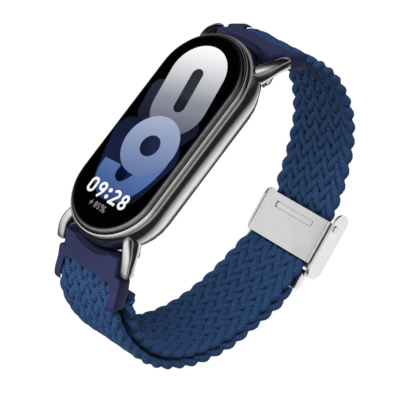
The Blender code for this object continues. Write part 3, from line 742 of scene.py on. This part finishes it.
def paint_kept_nodes():
    """Gives the nodes that no piece replaces a material of their own kind."""
    for key, names in KEPT_NODES.items():
        for name in names:
            mesh = frame["nodes"][name].data
            mesh.materials.clear()
            mesh.materials.append(paints[key])


# ---------------------------------------------------------------- tracker case

def frame_profile():
    """The frame's section: the pocket wall, the curved outer wall, then the bore."""
    inset, z, slope = GLASS_POCKET_INSET, FRAME_TOP_Z, 90.0
    profile = [(GLASS_POCKET_INSET, GLASS_POCKET_Z), (inset, z)]
    for radius, end_slope in FRAME_WALL:
        steps = max(3, int(abs(slope - end_slope) / 5))
        for step in range(1, steps + 1):
            angle = math.radians(slope + (end_slope - slope) * step / steps)
            start = math.radians(slope)
            profile.append((inset - radius * (math.cos(angle) - math.cos(start)),
                            z - radius * (math.sin(start) - math.sin(angle))))
        inset, z = profile[-1]
        slope = end_slope
    return profile + [(BORE_INSET, z), (BORE_INSET, GLASS_POCKET_Z)]


def make_case():
    """The metal frame, and the glass whose rounded rim catches the light."""
    add_piece("frame_shell", swept_stadium(frame_profile(), True), paints["frame"], "tracker",
              ["metal_frame"], 30)

    corner = (GLASS_INSET + GLASS_EDGE_ROUND, -GLASS_EDGE_ROUND)
    rim = [(GLASS_INSET, -GLASS_THICKNESS)]
    rim += arc(corner, (-GLASS_EDGE_ROUND, GLASS_EDGE_ROUND), 0, 90, 12)
    glass = add_piece("front_glass", swept_stadium(rim, False), paints["glass"], "tracker",
                      ["cover_glass"], 40)
    glass.data.materials.append(paints["glass_edge"])
    for face in glass.data.polygons:
        if 0.02 < face.normal.z < 0.93:
            face.material_index = 1


def case_clearance(gap):
    """The frame's outer shape grown by a gap."""
    around = flat_shape(stadium(-gap), FRAME_BOTTOM_Z - gap, FRAME_TOP_Z + gap)
    around = round_rims(around, FRAME_TOP_Z + gap, FRAME_TOP_ROUND + gap, 5)
    return round_rims(around, FRAME_BOTTOM_Z - gap, FRAME_BOTTOM_ROUND + gap, 8)


def tapered_bar(route, end):
    """A soft-edged bar along (x, y, z, half width, half height) points at one end of the case."""
    stops = smooth_points(route, 8)
    points = [Vector((x, end * y, z)) for x, y, z, _, _ in stops]
    sizes = [(wide, tall) for _, _, _, wide, tall in stops]
    return swept_section(points, sizes, soft_square(LUG_SQUARENESS))


def make_bracket(name, node, end):
    """A bent bar under the case's end, with a tapered lug that rises beside the case at each end."""
    arc_centre = CASE_HALF_LENGTH - CASE_HALF_WIDTH
    half = list(BAR_ROUTE)
    for degrees in BAR_ARC_DEGREES:
        angle = math.radians(degrees)
        half.append((BRACKET_ARC_RADIUS * math.cos(angle), arc_centre + BRACKET_ARC_RADIUS * math.sin(angle),
                     BRACKET_ARC_Z, BRACKET_RADIUS, BRACKET_RADIUS))
    bar = half + [(-x, *rest) for x, *rest in reversed(half[:-1])]
    bracket = add_piece(name, tapered_bar(bar, end), paints["frame"], "tracker", [node])
    cut(bracket, case_clearance(CLEARANCE))
    back_clearance = flat_shape(stadium(BORE_INSET - 0.1), BACK_BOTTOM_Z - 2, -7.0)
    cut(bracket, back_clearance)
    for side in (-1, 1):
        cut(bracket, tapered_bar([(side * x, *rest) for x, *rest in LUG_ROUTE], end), "UNION")
    for side in (-1, 1):
        cut(bracket, drum((side * LUG_HOLE_X, end * PIVOT_Y, PIVOT_Z), LUG_HOLE_RADIUS, LUG_HOLE_LENGTH))
    near_y, far_y = sorted((end * 20.0, end * 24.5))
    button_recess = block((-2.6, near_y, -12.0), (2.6, far_y, -8.9))
    cut(bracket, button_recess)


# ---------------------------------------------------------------- display picture

def stroke(points, half_width, closed=False):
    """A flat line of even width, as (left, right) pairs of points."""
    points = [Vector((x, y)) for x, y in points]
    count = len(points)
    pairs = []
    for index, point in enumerate(points):
        if closed:
            before, after = points[index - 1], points[(index + 1) % count]
        else:
            before, after = points[max(index - 1, 0)], points[min(index + 1, count - 1)]
        along = (after - before).normalized()
        across = Vector((-along.y, along.x)) * half_width
        pairs.append((point + across, point - across))
    return pairs


def capsule(start, end, radius):
    """The outline of a line with round ends."""
    start, end = Vector(start), Vector(end)
    heading = math.degrees(math.atan2(end.y - start.y, end.x - start.x))
    return (arc(end, (radius, radius), heading - 90, heading + 90)
            + arc(start, (radius, radius), heading + 90, heading + 270))


def ring_between(outer, inner):
    """A closed strip between two outlines of as many points, as pairs of points."""
    return [(Vector(far), Vector(near)) for far, near in zip(outer, inner)]


def fill_pairs(work, pairs, z, closed):
    """Faces at height z along a strip's pairs of points."""
    made = [[work.verts.new((*point, z)) for point in pair] for pair in pairs]
    following = made[1:] + ([made[0]] if closed else [])
    for (left, right), (next_left, next_right) in zip(made, following):
        work.faces.new((left, right, next_right, next_left))


def picture_part(name, z, material, strips=(), outlines=()):
    """A flat lit shape just on the glass, from strips (pairs, closed) and filled outlines."""
    def build(work):
        for pairs, closed in strips:
            fill_pairs(work, pairs, z, closed)
        for outline in outlines:
            work.faces.new([work.verts.new((x, y, z)) for x, y in outline])
        for face in work.faces:
            face.normal_update()
            if face.normal.z < 0:
                face.normal_flip()
    add_piece(name, mesh_from(build), material, "tracker")


def clock_strokes(character, x, y, height):
    """Strips for one bold digit, or a colon, in a box that starts at (x, y)."""
    width, pen = 0.6 * height, 0.085 * height
    left, right = x + pen, x + width - pen
    middle, half = x + width / 2, (width / 2 - pen)
    low, high = y + pen, y + height - pen
    ring = 0.25 * height - pen / 2
    if character == "0":
        loop = (arc((middle, high - half), (half, half), 0, 180, 14)
                + arc((middle, low + half), (half, half), 180, 360, 14))
        return [(stroke(loop, pen, True), True)]
    if character == "8":
        return [(stroke(arc((middle, high - ring), (half * 0.9, ring), 0, 348, 24), pen, True), True),
                (stroke(arc((middle, low + ring), (half, ring), 0, 348, 24), pen, True), True)]
    if character == "9":
        head = stroke(arc((middle, high - half), (half, half), 0, 348, 24), pen, True)
        tail = [(right, high - half), (right - 0.02 * height, y + 0.45 * height),
                (right - 0.12 * height, y + 0.22 * height), (right - 0.26 * height, y)]
        return [(head, True), (stroke(tail, pen), False)]
    if character == "2":
        curve = arc((middle, high - half), (half, half), 160, -25, 14)
        curve += [(middle, y + 0.38 * height), (left, low)]
        return [(stroke(curve, pen), False), (stroke([(left - pen, low), (right + pen, low)], pen), False)]
    if character == "5":
        top = [(right, high), (left + 0.02 * height, high), (left, y + 0.52 * height)]
        bowl = arc((middle - pen / 2, low + half * 0.95), (half * 1.05, half), 120, -140, 14)
        return [(stroke(top, pen), False), (stroke(bowl, pen), False)]
    dot = 0.07 * height
    return [(stroke(arc((x + 2 * dot, y + share * height), (dot, dot), 0, 345, 20), dot, True), True)
            for share in (0.28, 0.72)]


def make_large_digits():
    """A nought above a nine that overlap, over soft shapes that glow behind them."""
    glow = make_glow("picture_blue", ((0.0, (0.0, 0.001, 0.005)), (0.45, (0.002, 0.008, 0.04)),
                                      (1.0, (0.001, 0.004, 0.018))), -16.0, 3.0)
    glows = (capsule((-5.3, -3.0), (-3.0, -10.5), 3.6), capsule((4.4, -4.0), (2.4, -11.5), 4.4),
             capsule((5.7, 1.0), (6.6, 3.2), 1.9))
    picture_part("picture_glow", 0.006, glow, outlines=glows)
    shade = make_glow("picture_shade", ((0.0, (0.004, 0.006, 0.02)), (1.0, (0.018, 0.021, 0.036))),
                      0.0, 10.0)
    picture_part("picture_shadow", 0.010, shade, outlines=(capsule((-5.9, 7.2), (-5.0, 2.6), 2.1),))

    zero = make_glow("picture_zero", ((0.0, (0.11, 0.125, 0.18)), (0.4, (0.28, 0.29, 0.34)),
                                      (0.8, (0.75, 0.75, 0.77)), (1.0, (0.95, 0.95, 0.95))),
                     0.5, 18.5, -0.25)
    low, high = (0.9, 6.2), (-0.3, 13.0)
    ring = ring_between(capsule(low, high, 6.3), capsule(low, high, 1.3))
    picture_part("picture_zero", 0.014, zero, strips=((ring, True),))
    slot = make_glow("picture_slot", ((0.0, (0.003, 0.004, 0.01)), (0.3, (0.008, 0.01, 0.02)),
                                      (0.4, (0.025, 0.028, 0.04)), (1.0, (0.02, 0.022, 0.03))), 4.5, 14.5)
    picture_part("picture_slot", 0.012, slot, outlines=(capsule(low, high, 1.4),))

    tail = make_glow("picture_tail", ((0.0, (0.006, 0.016, 0.06)), (0.2, (0.05, 0.1, 0.29)),
                                      (0.55, (0.09, 0.165, 0.4)), (1.0, (0.12, 0.2, 0.46))), -16.2, -3.0)
    route = [(5.0, -3.0), (5.1, -5.5), (4.5, -8.5), (3.4, -11.2), (1.7, -13.3), (-0.5, -13.9),
             (-2.7, -13.0), (-3.9, -11.2), (-4.1, -8.9)]
    smooth = [(point.x, point.y) for point in smooth_points([(x, y, 0) for x, y in route], 6)]
    picture_part("picture_nine_tail", 0.018, tail, strips=((stroke(smooth, 2.15), False),))
    head = make_glow("picture_head", ((0.0, (0.13, 0.19, 0.38)), (0.5, (0.24, 0.31, 0.49)),
                                      (1.0, (0.4, 0.46, 0.62))), -9.0, 3.5, -0.3)
    outer, inner, hole_edge = (arc((1.0, -3.0), (radius, radius), 0, 352, 44) for radius in (6.3, 2.2, 2.3))
    picture_part("picture_nine_head", 0.022, head, strips=((ring_between(outer, inner), True),))
    hole = make_glow("picture_hole", ((0.0, (0.001, 0.002, 0.008)), (1.0, (0.006, 0.016, 0.06))),
                     -5.5, -0.8, 1.0)
    picture_part("picture_hole", 0.020, hole, outlines=(hole_edge,))


def make_small_text():
    """The time, and under it the battery's charge."""
    white = make_glow("picture_white", ((0.0, (0.86, 0.87, 0.9)), (1.0, (1.0, 1.0, 1.0))), -16.5, -13.0)
    strips = []
    for character, x in (("0", -5.5), ("9", -3.05), (":", -0.55), ("2", 0.85), ("8", 3.3)):
        strips += clock_strokes(character, x, -16.2, 3.2)
    picture_part("picture_time", 0.026, white, strips=strips)

    grey = make_glow("picture_grey", ((0.0, (0.2, 0.2, 0.21)), (1.0, (0.26, 0.26, 0.27))), -18.2, -16.8)
    strips = clock_strokes("8", -1.35, -18.2, 1.25) + clock_strokes("5", -0.45, -18.2, 1.25)
    strips.append((stroke([(0.7, -18.2), (1.5, -16.95)], 0.12), False))
    strips += [(stroke(arc(spot, (0.22, 0.25), 0, 345, 16), 0.11, True), True)
               for spot in ((0.7, -17.2), (1.5, -17.95))]
    bolt = [(-2.0, -16.9), (-2.75, -17.75), (-2.3, -17.75), (-2.55, -18.35), (-1.75, -17.45),
            (-2.2, -17.45)]
    picture_part("picture_charge", 0.026, grey, strips=strips, outlines=(bolt,))


# ---------------------------------------------------------------- connectors

def mirrored(right):
    """An outline drawn on the right, closed by its mirror image on the left."""
    return right + [(-x, y) for x, y in reversed(right)]


def connector_outline(arm_end):
    """The connector's plan, from the tongue's front round the shoulder to the arm's end."""
    bend = (SHOULDER_ROUND, SHOULDER_ROUND)
    bend_x = SHOULDER_HALF_WIDTH - SHOULDER_ROUND
    right = [(TONGUE_HALF_WIDTH, TONGUE_START), (TONGUE_HALF_WIDTH, SHOULDER_START - 0.1)]
    right += arc((bend_x, SHOULDER_START + SHOULDER_ROUND), bend, -90, 0, 8)
    right += arc((bend_x, arm_end - SHOULDER_ROUND), bend, 0, 90, 8)
    return mirrored(right)


def mouth_outline(arm_end):
    """The U-shaped opening in the connector's faces that shows the braid."""
    bend_centre = (MOUTH_HALF_WIDTH - MOUTH_ROUND, MOUTH_START + MOUTH_ROUND)
    right = arc(bend_centre, (MOUTH_ROUND, MOUTH_ROUND), -90, 0, 8)
    return mirrored([*right, (MOUTH_HALF_WIDTH, arm_end + 2)])


def make_connector(name, node, path, end, arm_end, body):
    """The polymer end of a strap: a bored tongue and two arms round a pocket for the braid.

    The case's shape is cut out of it all along its swing.
    """
    solid = flat_shape(connector_outline(arm_end), CONNECTOR_INNER, CONNECTOR_OUTER)
    for z in (CONNECTOR_OUTER, CONNECTOR_INNER):
        solid = round_rims(solid, z, RIM_ROUND, 4)
    connector = add_piece(name, bent(solid, path, TONGUE_START, arm_end), paints["polymer"], body,
                          [node])
    pocket = block((-POCKET_HALF_WIDTH, POCKET_START, -POCKET_HALF_HEIGHT),
                   (POCKET_HALF_WIDTH, arm_end + 2, POCKET_HALF_HEIGHT))
    cut(connector, bent(pocket, path, POCKET_START, arm_end + 2))
    for low, high in ((0.5, 3.0), (-3.0, -0.5)):
        mouth = flat_shape(mouth_outline(arm_end), low, high)
        cut(connector, bent(mouth, path, MOUTH_START, arm_end + 2))
    cut(connector, drum((0, end * PIVOT_Y, PIVOT_Z), BAR_BORE_RADIUS, 20.0))
    axis = Matrix.Translation((0, end * PIVOT_Y, PIVOT_Z))
    for degrees in range(0, STRAP_SWING + 1, 10):
        case = case_clearance(SWING_GAP)
        turn = Matrix.Rotation(math.radians(-end * degrees), 4, "X")
        case.transform(axis @ turn @ axis.inverted())
        cut(connector, case)
    knob_slot = block((KNOB_X - 2.0, -0.4, -3.0), (KNOB_X + 0.45, 0.4, 0.0))
    cut(connector, bent(knob_slot, path, -0.4, 0.4, 0.8))


# ---------------------------------------------------------------- braided straps

def strand_place(turn):
    """Where a strand is after so many crossings: (x from -1 to 1, height from -1 to 1, wrap angle,
    heading). The heading is 1 while it crosses to the right and -1 to the left."""
    corner = round(turn / STRAND_COUNT)
    side = 1 if corner % 2 else -1
    past = turn - corner * STRAND_COUNT
    slope = 2 / STRAND_COUNT
    if abs(past) < EDGE_ROUNDING:
        x = side * (1 - slope * (past * past / EDGE_ROUNDING + EDGE_ROUNDING) / 2)
    else:
        x = side * (1 - slope * abs(past))
    if abs(past) < EDGE_WRAP:
        wrap = math.pi * (past + EDGE_WRAP) / (2 * EDGE_WRAP)
        return x, -math.cos(wrap), math.sin(wrap), -side * math.cos(wrap)
    heading = 1 if math.floor(turn / STRAND_COUNT) % 2 == 0 else -1
    crossed = turn % STRAND_COUNT
    height = math.sin(math.pi / 2 * math.cos(math.pi * (crossed - EDGE_WRAP) / 2))
    return x, height, 0.0, -heading


def strand_course(strand, spots, half_width_at, thickness_at):
    """A strand's centres, upward directions and (half width, half height) along the strap."""
    centres, ups, sizes = [], [], []
    for distance, middle, outward in spots:
        # The whole turns added at the end keep the count above 0
        turn = distance / (GRAIN_PITCH / 2) + 2 * strand + 40 * STRAND_COUNT
        x, height, up_x, up_out = strand_place(turn)
        squeeze = thickness_at(distance) / STRAP_THICKNESS
        reach = half_width_at(distance) - STRAND_MARGIN
        centres.append(middle + Vector((x * reach, 0, 0)) + outward * (height * WEAVE_HEIGHT * squeeze))
        ups.append(Vector((up_x, 0, 0)) + outward * up_out)
        sizes.append((STRAND_HALF_WIDTH * (1 + 0.1 * up_x),
                      STRAND_HALF_HEIGHT * (1 + EDGE_SWELL * up_x) * squeeze))
    return centres, ups, sizes


def add_strand(verts, faces, uvs, centres, ups, sizes):
    """Adds a strand's closed tube; its V coordinate is the length along it in millimetres."""
    base, last = len(verts), len(centres) - 1
    lengths = running_lengths(centres)
    for index, centre in enumerate(centres):
        before, after = centres[max(index - 1, 0)], centres[min(index + 1, last)]
        tangent = (after - before).normalized()
        up = (ups[index] - tangent * ups[index].dot(tangent)).normalized()
        across = tangent.cross(up)
        wide, high = sizes[index]
        for side in range(STRAND_SIDES):
            angle = 2 * math.pi * side / STRAND_SIDES
            verts.append(centre + across * (wide * math.cos(angle)) + up * (high * math.sin(angle)))
    for index in range(last):
        for side in range(STRAND_SIDES):
            first = base + index * STRAND_SIDES
            after = (side + 1) % STRAND_SIDES
            faces.append((first + side, first + after, first + STRAND_SIDES + after,
                          first + STRAND_SIDES + side))
            corners = ((side, index), (side + 1, index), (side + 1, index + 1), (side, index + 1))
            uvs += [(share / STRAND_SIDES, lengths[row]) for share, row in corners]
    for row, order in ((0, -1), (last, 1)):
        faces.append([base + row * STRAND_SIDES + side for side in range(STRAND_SIDES)][::order])
        uvs += [(side / STRAND_SIDES, lengths[row]) for side in range(STRAND_SIDES)][::order]


def make_braid(name, node, path, end, half_width_at, thickness_at, body):
    """A flat braid: every strand runs from edge to edge, over two and under two, and wraps round
    each edge."""
    length = end - STRAP_START
    count = round(length / STRAND_STEP)
    distances = [STRAP_START + length * step / count for step in range(count + 1)]
    spots = [(distance, path.at(distance)[0], path.outward(distance)) for distance in distances]
    verts, faces, uvs = [], [], []
    for strand in range(STRAND_COUNT):
        add_strand(verts, faces, uvs, *strand_course(strand, spots, half_width_at, thickness_at))
    mesh = bpy.data.meshes.new(name)
    mesh.from_pydata(verts, [], faces)
    layer = mesh.uv_layers.new(name="strand")
    for loop, uv in zip(layer.data, uvs):
        loop.uv = uv
    mesh.validate()
    add_piece(name, mesh, paints["braid"], body, [node], 80)


def in_connector(distance, arm_end):
    """1 where a strap is inside its connector and 0 beyond its arms."""
    return 1 - blend(distance, arm_end, arm_end + 2)


def make_short_braid(path):
    """The braid from the lower connector to its crimp, where it is pressed in."""
    end = path.total - 0.4

    def near_crimp(distance):
        return blend(distance, end - 3.0, end - 1.0)

    def half_width(distance):
        narrowing = NECK_NARROWING * in_connector(distance, LOWER_ARM_END)
        return STRAP_HALF_WIDTH - narrowing - 0.5 * near_crimp(distance)

    def thickness(distance):
        thinning = NECK_THINNING * in_connector(distance, LOWER_ARM_END)
        return STRAP_THICKNESS - thinning - 0.5 * near_crimp(distance)

    make_braid("short_braid", "short_strap", path, end, half_width, thickness, "lower_strap")


def make_long_braid(path, clasp_from, clasp_to):
    """The braid from the upper connector to its tail, pressed flatter and narrower in the clasp."""
    end = path.total
    tip_start = end - TAIL_TIP_LENGTH

    def in_clasp(distance):
        before = blend(distance, clasp_from - 3.0, clasp_from)
        return before * (1 - blend(distance, clasp_to, clasp_to + 3.0))

    def half_width(distance):
        narrowing = NECK_NARROWING * in_connector(distance, UPPER_ARM_END)
        squeezed = (STRAP_HALF_WIDTH - CHANNEL_STRAP_HALF_WIDTH) * in_clasp(distance)
        return STRAP_HALF_WIDTH - narrowing - squeezed

    def thickness(distance):
        thinning = NECK_THINNING * in_connector(distance, UPPER_ARM_END)
        pressed = (STRAP_THICKNESS - CLASP_STRAP_THICKNESS) * in_clasp(distance)
        return STRAP_THICKNESS - thinning - pressed

    make_braid("long_braid", "long_strap", path, tip_start - 0.1, half_width, thickness, "upper_strap")
    tip = block((-TIP_HALF_WIDTH, tip_start, -0.9), (TIP_HALF_WIDTH, end, 0.9), 0.35, 4)
    add_piece("tail_binding", bent(tip, path, tip_start, end, 0.4), paints["polymer"], "upper_strap",
              ["strap_tail_tip"])


# ---------------------------------------------------------------- clasp

def in_clasp_frame(mesh):
    """Moves a mesh drawn with Y along the clasp and Z outward into its place."""
    y, z = clasp_point(0, 0)
    turn = Matrix.Rotation(CLASP_SLOPE, 4, "X") @ Matrix.Scale(-1, 4, (0, 0, 1))
    mesh.transform(Matrix.Translation((0, y, z)) @ turn)
    mesh.flip_normals()
    return mesh


def clasp_block(low, high, rounding=0.0):
    """A box given by clasp coordinates (x, t, n)."""
    return in_clasp_frame(block(low, high, rounding))


def clasp_bore(t, n, radius):
    """A cutter for a hole right across the clasp."""
    return in_clasp_frame(drum((0, t, n), radius, 30.0))


def turned_to_side(mesh):
    """Stands a flat shape drawn as (t, n) up across X."""
    mesh.transform(Matrix(((0, 0, 1, 0), (1, 0, 0, 0), (0, 1, 0, 0), (0, 0, 0, 1))))
    return in_clasp_frame(mesh)


def folded_section(half_width, sheet, depth, bend):
    """A sheet folded down at both sides, as (x, n) points, with round bends."""
    inner_bend = max(bend - sheet, 0.05)
    inner_centre = (half_width - sheet - inner_bend, sheet + inner_bend)
    outer = arc((half_width - bend, bend), (bend, bend), -90, 0, 8)
    outer.append((half_width, depth))
    inner = [(half_width - sheet, depth), *arc(inner_centre, (inner_bend, inner_bend), 0, -90, 8)]
    left_outer = [(-x, n) for x, n in reversed(outer)]
    left_inner = [(-x, n) for x, n in reversed(inner)]
    return left_outer + outer + inner + left_inner


def folded_sheet(half_width, sheet, depth, bend, t_low, t_high):
    """The folded section given its length along the clasp."""
    section = folded_section(half_width, sheet, depth, bend)

    def build(work):
        near = [work.verts.new((x, t_low, n)) for x, n in section]
        far = [work.verts.new((x, t_high, n)) for x, n in section]
        join_rings(work, near, far)
        work.faces.new(near)
        work.faces.new(far)
        bmesh.ops.recalc_face_normals(work, faces=work.faces)
    return in_clasp_frame(mesh_from(build))


def make_clasp_base():
    """The inner plate, folded down into a wall each side, with ears that hold the link bar."""
    outer = BASE_HALF_WIDTH + WALL_SHEET
    base = add_piece("clasp_plate",
                     folded_sheet(outer, BASE_SHEET, WALL_DEPTH, BASE_BEND, -BASE_HALF_LENGTH,
                                  BASE_HALF_LENGTH),
                     paints["steel"], "upper_strap", ["clasp_base"])
    for side in (-1, 1):
        low, high = sorted((side * (BASE_HALF_WIDTH + 0.07), side * (outer - 0.02)))
        cut(base, clasp_block((low, EAR_END_T, 1.1), (high, 0.0, 2.8), 0.12), "UNION")
    cut(base, clasp_block((-SLOT_HALF_LENGTH, SLOT_T - SLOT_HALF_WIDTH, -1.0),
                          (SLOT_HALF_LENGTH, SLOT_T + SLOT_HALF_WIDTH, 0.6)))
    cut(base, clasp_bore(HINGE_T, HINGE_N, HINGE_BORE_RADIUS))
    cut(base, clasp_bore(LINK_T, LINK_N, LINK_RADIUS + LINK_GAP))


def flange_outline(end_t):
    """A side flange seen from the side: straight edges and round ends, as (t, n) points."""
    middle = (FLANGE_INNER_N + COVER_OUTER_N) / 2
    radius = (COVER_OUTER_N - FLANGE_INNER_N) / 2
    outline = []
    for end, start in ((1, -90), (-1, 90)):
        outline += arc((end * (end_t - radius), middle), (radius, radius), start, start + 180, 20)
    return outline


def make_clasp_cover():
    """The outer cover: a plate between two side flanges."""
    outer = FLANGE_X + FLANGE_SHEET
    cover = add_piece("clasp_lid_cover",
                      clasp_block((-outer + 0.1, -FLANGE_END_T + 1.2, COVER_OUTER_N - COVER_SHEET),
                                  (outer - 0.1, COVER_PLATE_END_T, COVER_OUTER_N), 0.12),
                      paints["steel"], "clasp_lid", ["clasp_cover"])
    for side, end_t in ((-1, LEFT_FLANGE_END_T), (1, FLANGE_END_T)):
        low, high = sorted((side * FLANGE_X, side * outer))
        cut(cover, turned_to_side(flat_shape(flange_outline(end_t), low, high)), "UNION")
    cut(cover, clasp_bore(HINGE_T, HINGE_N, HINGE_BORE_RADIUS))


# ---------------------------------------------------------------- camera, light and floor

def make_camera():
    """A long lens that looks at the loop from above its right side."""
    data = bpy.data.cameras.new("camera")
    data.lens = CAMERA_LENS
    data.clip_end = 20.0
    camera = bpy.data.objects.new("camera", data)
    bpy.context.scene.collection.objects.link(camera)
    azimuth, elevation = math.radians(CAMERA_AZIMUTH), math.radians(CAMERA_ELEVATION)
    away = Vector((math.sin(azimuth) * math.cos(elevation), -math.cos(azimuth) * math.cos(elevation),
                   math.sin(elevation)))
    camera.location = place(*CAMERA_AIM) + away * CAMERA_DISTANCE * MM
    upright = away.to_track_quat("Z", "Y").to_matrix()
    camera.rotation_euler = (upright @ Matrix.Rotation(math.radians(CAMERA_ROLL), 3, "Z")).to_euler()
    bpy.context.scene.camera = camera


def add_light(name, direction, distance, size, power):
    """A soft square light that faces the tracker from a direction and that reflections don't
    show; lengths in metres."""
    data = bpy.data.lights.new(name, "AREA")
    data.size = size
    data.energy = power
    lamp = bpy.data.objects.new(name, data)
    bpy.context.scene.collection.objects.link(lamp)
    heading = Vector(direction).normalized()
    lamp.location = place(0, 0, -25) + heading * distance
    lamp.rotation_euler = heading.to_track_quat("Z", "Y").to_euler()
    lamp.visible_glossy = False


def make_world():
    """A studio: bright overhead, dark at the horizon, dim behind the upper strap, and with a dark
    flag where the flat glass would mirror the ceiling."""
    world = bpy.data.worlds.new("studio")
    world.use_nodes = True
    tree = world.node_tree
    nodes, links = tree.nodes, tree.links
    heading = nodes.new("ShaderNodeTexCoord").outputs["Generated"]

    def brightness_over(direction, stops):
        """A brightness by how far a ray points along a direction, from -1 to 1."""
        share = nodes.new("ShaderNodeVectorMath")
        share.operation = "DOT_PRODUCT"
        share.inputs[1].default_value = Vector(direction).normalized()
        links.new(heading, share.inputs[0])
        ranged = nodes.new("ShaderNodeMapRange")
        ranged.inputs["From Min"].default_value = -1.0
        links.new(share.outputs["Value"], ranged.inputs["Value"])
        band = nodes.new("ShaderNodeValToRGB")
        fill_ramp(band.color_ramp, [((spot + 1) / 2, (value, value, value)) for spot, value in stops])
        links.new(ranged.outputs["Result"], band.inputs["Fac"])
        return band.outputs["Color"]

    def product(first, second):
        both = nodes.new("ShaderNodeVectorMath")
        both.operation = "MULTIPLY"
        links.new(first, both.inputs[0])
        links.new(second, both.inputs[1])
        return both.outputs["Vector"]

    height = brightness_over((0, 0, 1), WORLD_BY_HEIGHT)
    side = brightness_over((0, -1, 0.25), WORLD_BY_SIDE)
    flag = brightness_over(GLASS_FLAG, FLAG_STOPS)
    links.new(product(product(height, side), flag), nodes["Background"].inputs["Color"])
    nodes["Background"].inputs["Strength"].default_value = WORLD_STRENGTH
    bpy.context.scene.world = world


def stage_material(name, white, diffuse):
    """A pale surface that partly glows, so that it stays pale."""
    return Paint(name, Base_Color=(diffuse, diffuse, diffuse, 1.0), Roughness=0.9,
                 Specular_IOR_Level=0.0, Emission_Color=(white, white, white, 1.0),
                 Emission_Strength=1.0).material


def card_material():
    """A glow below the object that fades with the distance from it, and grows again to the right
    and behind."""
    paint = Paint("reflection_card", Base_Color=(0, 0, 0, 1), Specular_IOR_Level=0.0,
                  Emission_Strength=1.0)
    spot = paint.node("TexCoord")
    reach = paint.node("VectorMath")
    reach.operation = "LENGTH"
    paint.tree.links.new(spot.outputs["Object"], reach.inputs[0])
    ends = paint.node("SeparateXYZ", Vector=spot.outputs["Object"])

    def brightness(distance, stops):
        """A grey by a distance as a share of the card's radius."""
        return paint.ramp(paint.math("DIVIDE", distance, CARD_RADIUS), stops)

    near = brightness(reach.outputs["Value"], ((0.0, (1.0, 1.0, 1.0)), (0.1, (1.0, 1.0, 1.0)),
                                               (0.155, (0.02, 0.02, 0.02))))
    right = brightness(ends.outputs["X"], ((0.2, (0.0, 0.0, 0.0)), (0.36, (0.3, 0.3, 0.3)),
                                           (0.75, (0.6, 0.6, 0.6))))
    behind = brightness(ends.outputs["Y"], ((0.15, (0.0, 0.0, 0.0)), (0.3, (0.3, 0.3, 0.34))))
    brightest = paint.math("MAXIMUM", paint.math("MAXIMUM", near, right), behind)
    paint.set("Emission Color", brightest)
    return paint.material


def make_stage():
    """A pale floor and backdrop, and a bright patch that only reflections see."""
    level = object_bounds()[0][2] - FLOOR_DROP

    def stage_piece(name, build, material, hidden_from):
        item = bpy.data.objects.new(name, mesh_from(build))
        item.data.materials.append(material)
        bpy.context.scene.collection.objects.link(item)
        for ray in hidden_from:
            setattr(item, "visible_" + ray, False)

    def disc(radius, z):
        def build(work):
            bmesh.ops.create_circle(work, cap_ends=True, segments=DISC_SIDES, radius=radius,
                                    matrix=Matrix.Translation((0, 0, z)))
        return build

    def dome(work):
        bmesh.ops.create_uvsphere(work, u_segments=64, v_segments=32, radius=STAGE_RADIUS,
                                  matrix=Matrix.Translation((0, 0, level)))
        bmesh.ops.reverse_faces(work, faces=work.faces)

    unlit = ("diffuse", "transmission", "volume_scatter", "shadow")
    stage_piece("floor", disc(STAGE_RADIUS, level), stage_material("pale_floor", 0.93, 0.09),
                ("glossy", "diffuse"))
    stage_piece("backdrop", dome, stage_material("pale_backdrop", 0.98, 0.0), ("glossy", *unlit))
    stage_piece("reflection_card", disc(CARD_RADIUS, level - CARD_DROP), card_material(),
                ("camera", *unlit))


# ---------------------------------------------------------------- the scene

paints = make_materials()
paint_kept_nodes()
short_path = short_strap_path()
long_path = long_strap_path(short_path)
make_camera()
make_case()
make_large_digits()
make_small_text()
for side_name, end, path, arm_end, body in (("upper", 1, long_path, UPPER_ARM_END, "upper_strap"),
                                            ("lower", -1, short_path, LOWER_ARM_END, "lower_strap")):
    make_bracket(side_name + "_lugs", side_name + "_lug_bracket", end)
    make_connector(side_name + "_strap_connector", side_name + "_connector", path, end, arm_end, body)
make_short_braid(short_path)
clasp_middle = nearest_distance(long_path, *clasp_point(0, 1.9))
make_long_braid(long_path, clasp_middle - BASE_HALF_LENGTH, clasp_middle + BASE_HALF_LENGTH)
make_clasp_base()
make_clasp_cover()
finish_cuts()
make_world()
add_light("key", (-0.1, -0.9, 0.5), 0.5, 0.35, 2.3)
add_light("fill", (0.4, 0.6, 0.75), 0.6, 0.3, 3.6)
make_stage()
bpy.context.scene.view_settings.view_transform = "Standard"
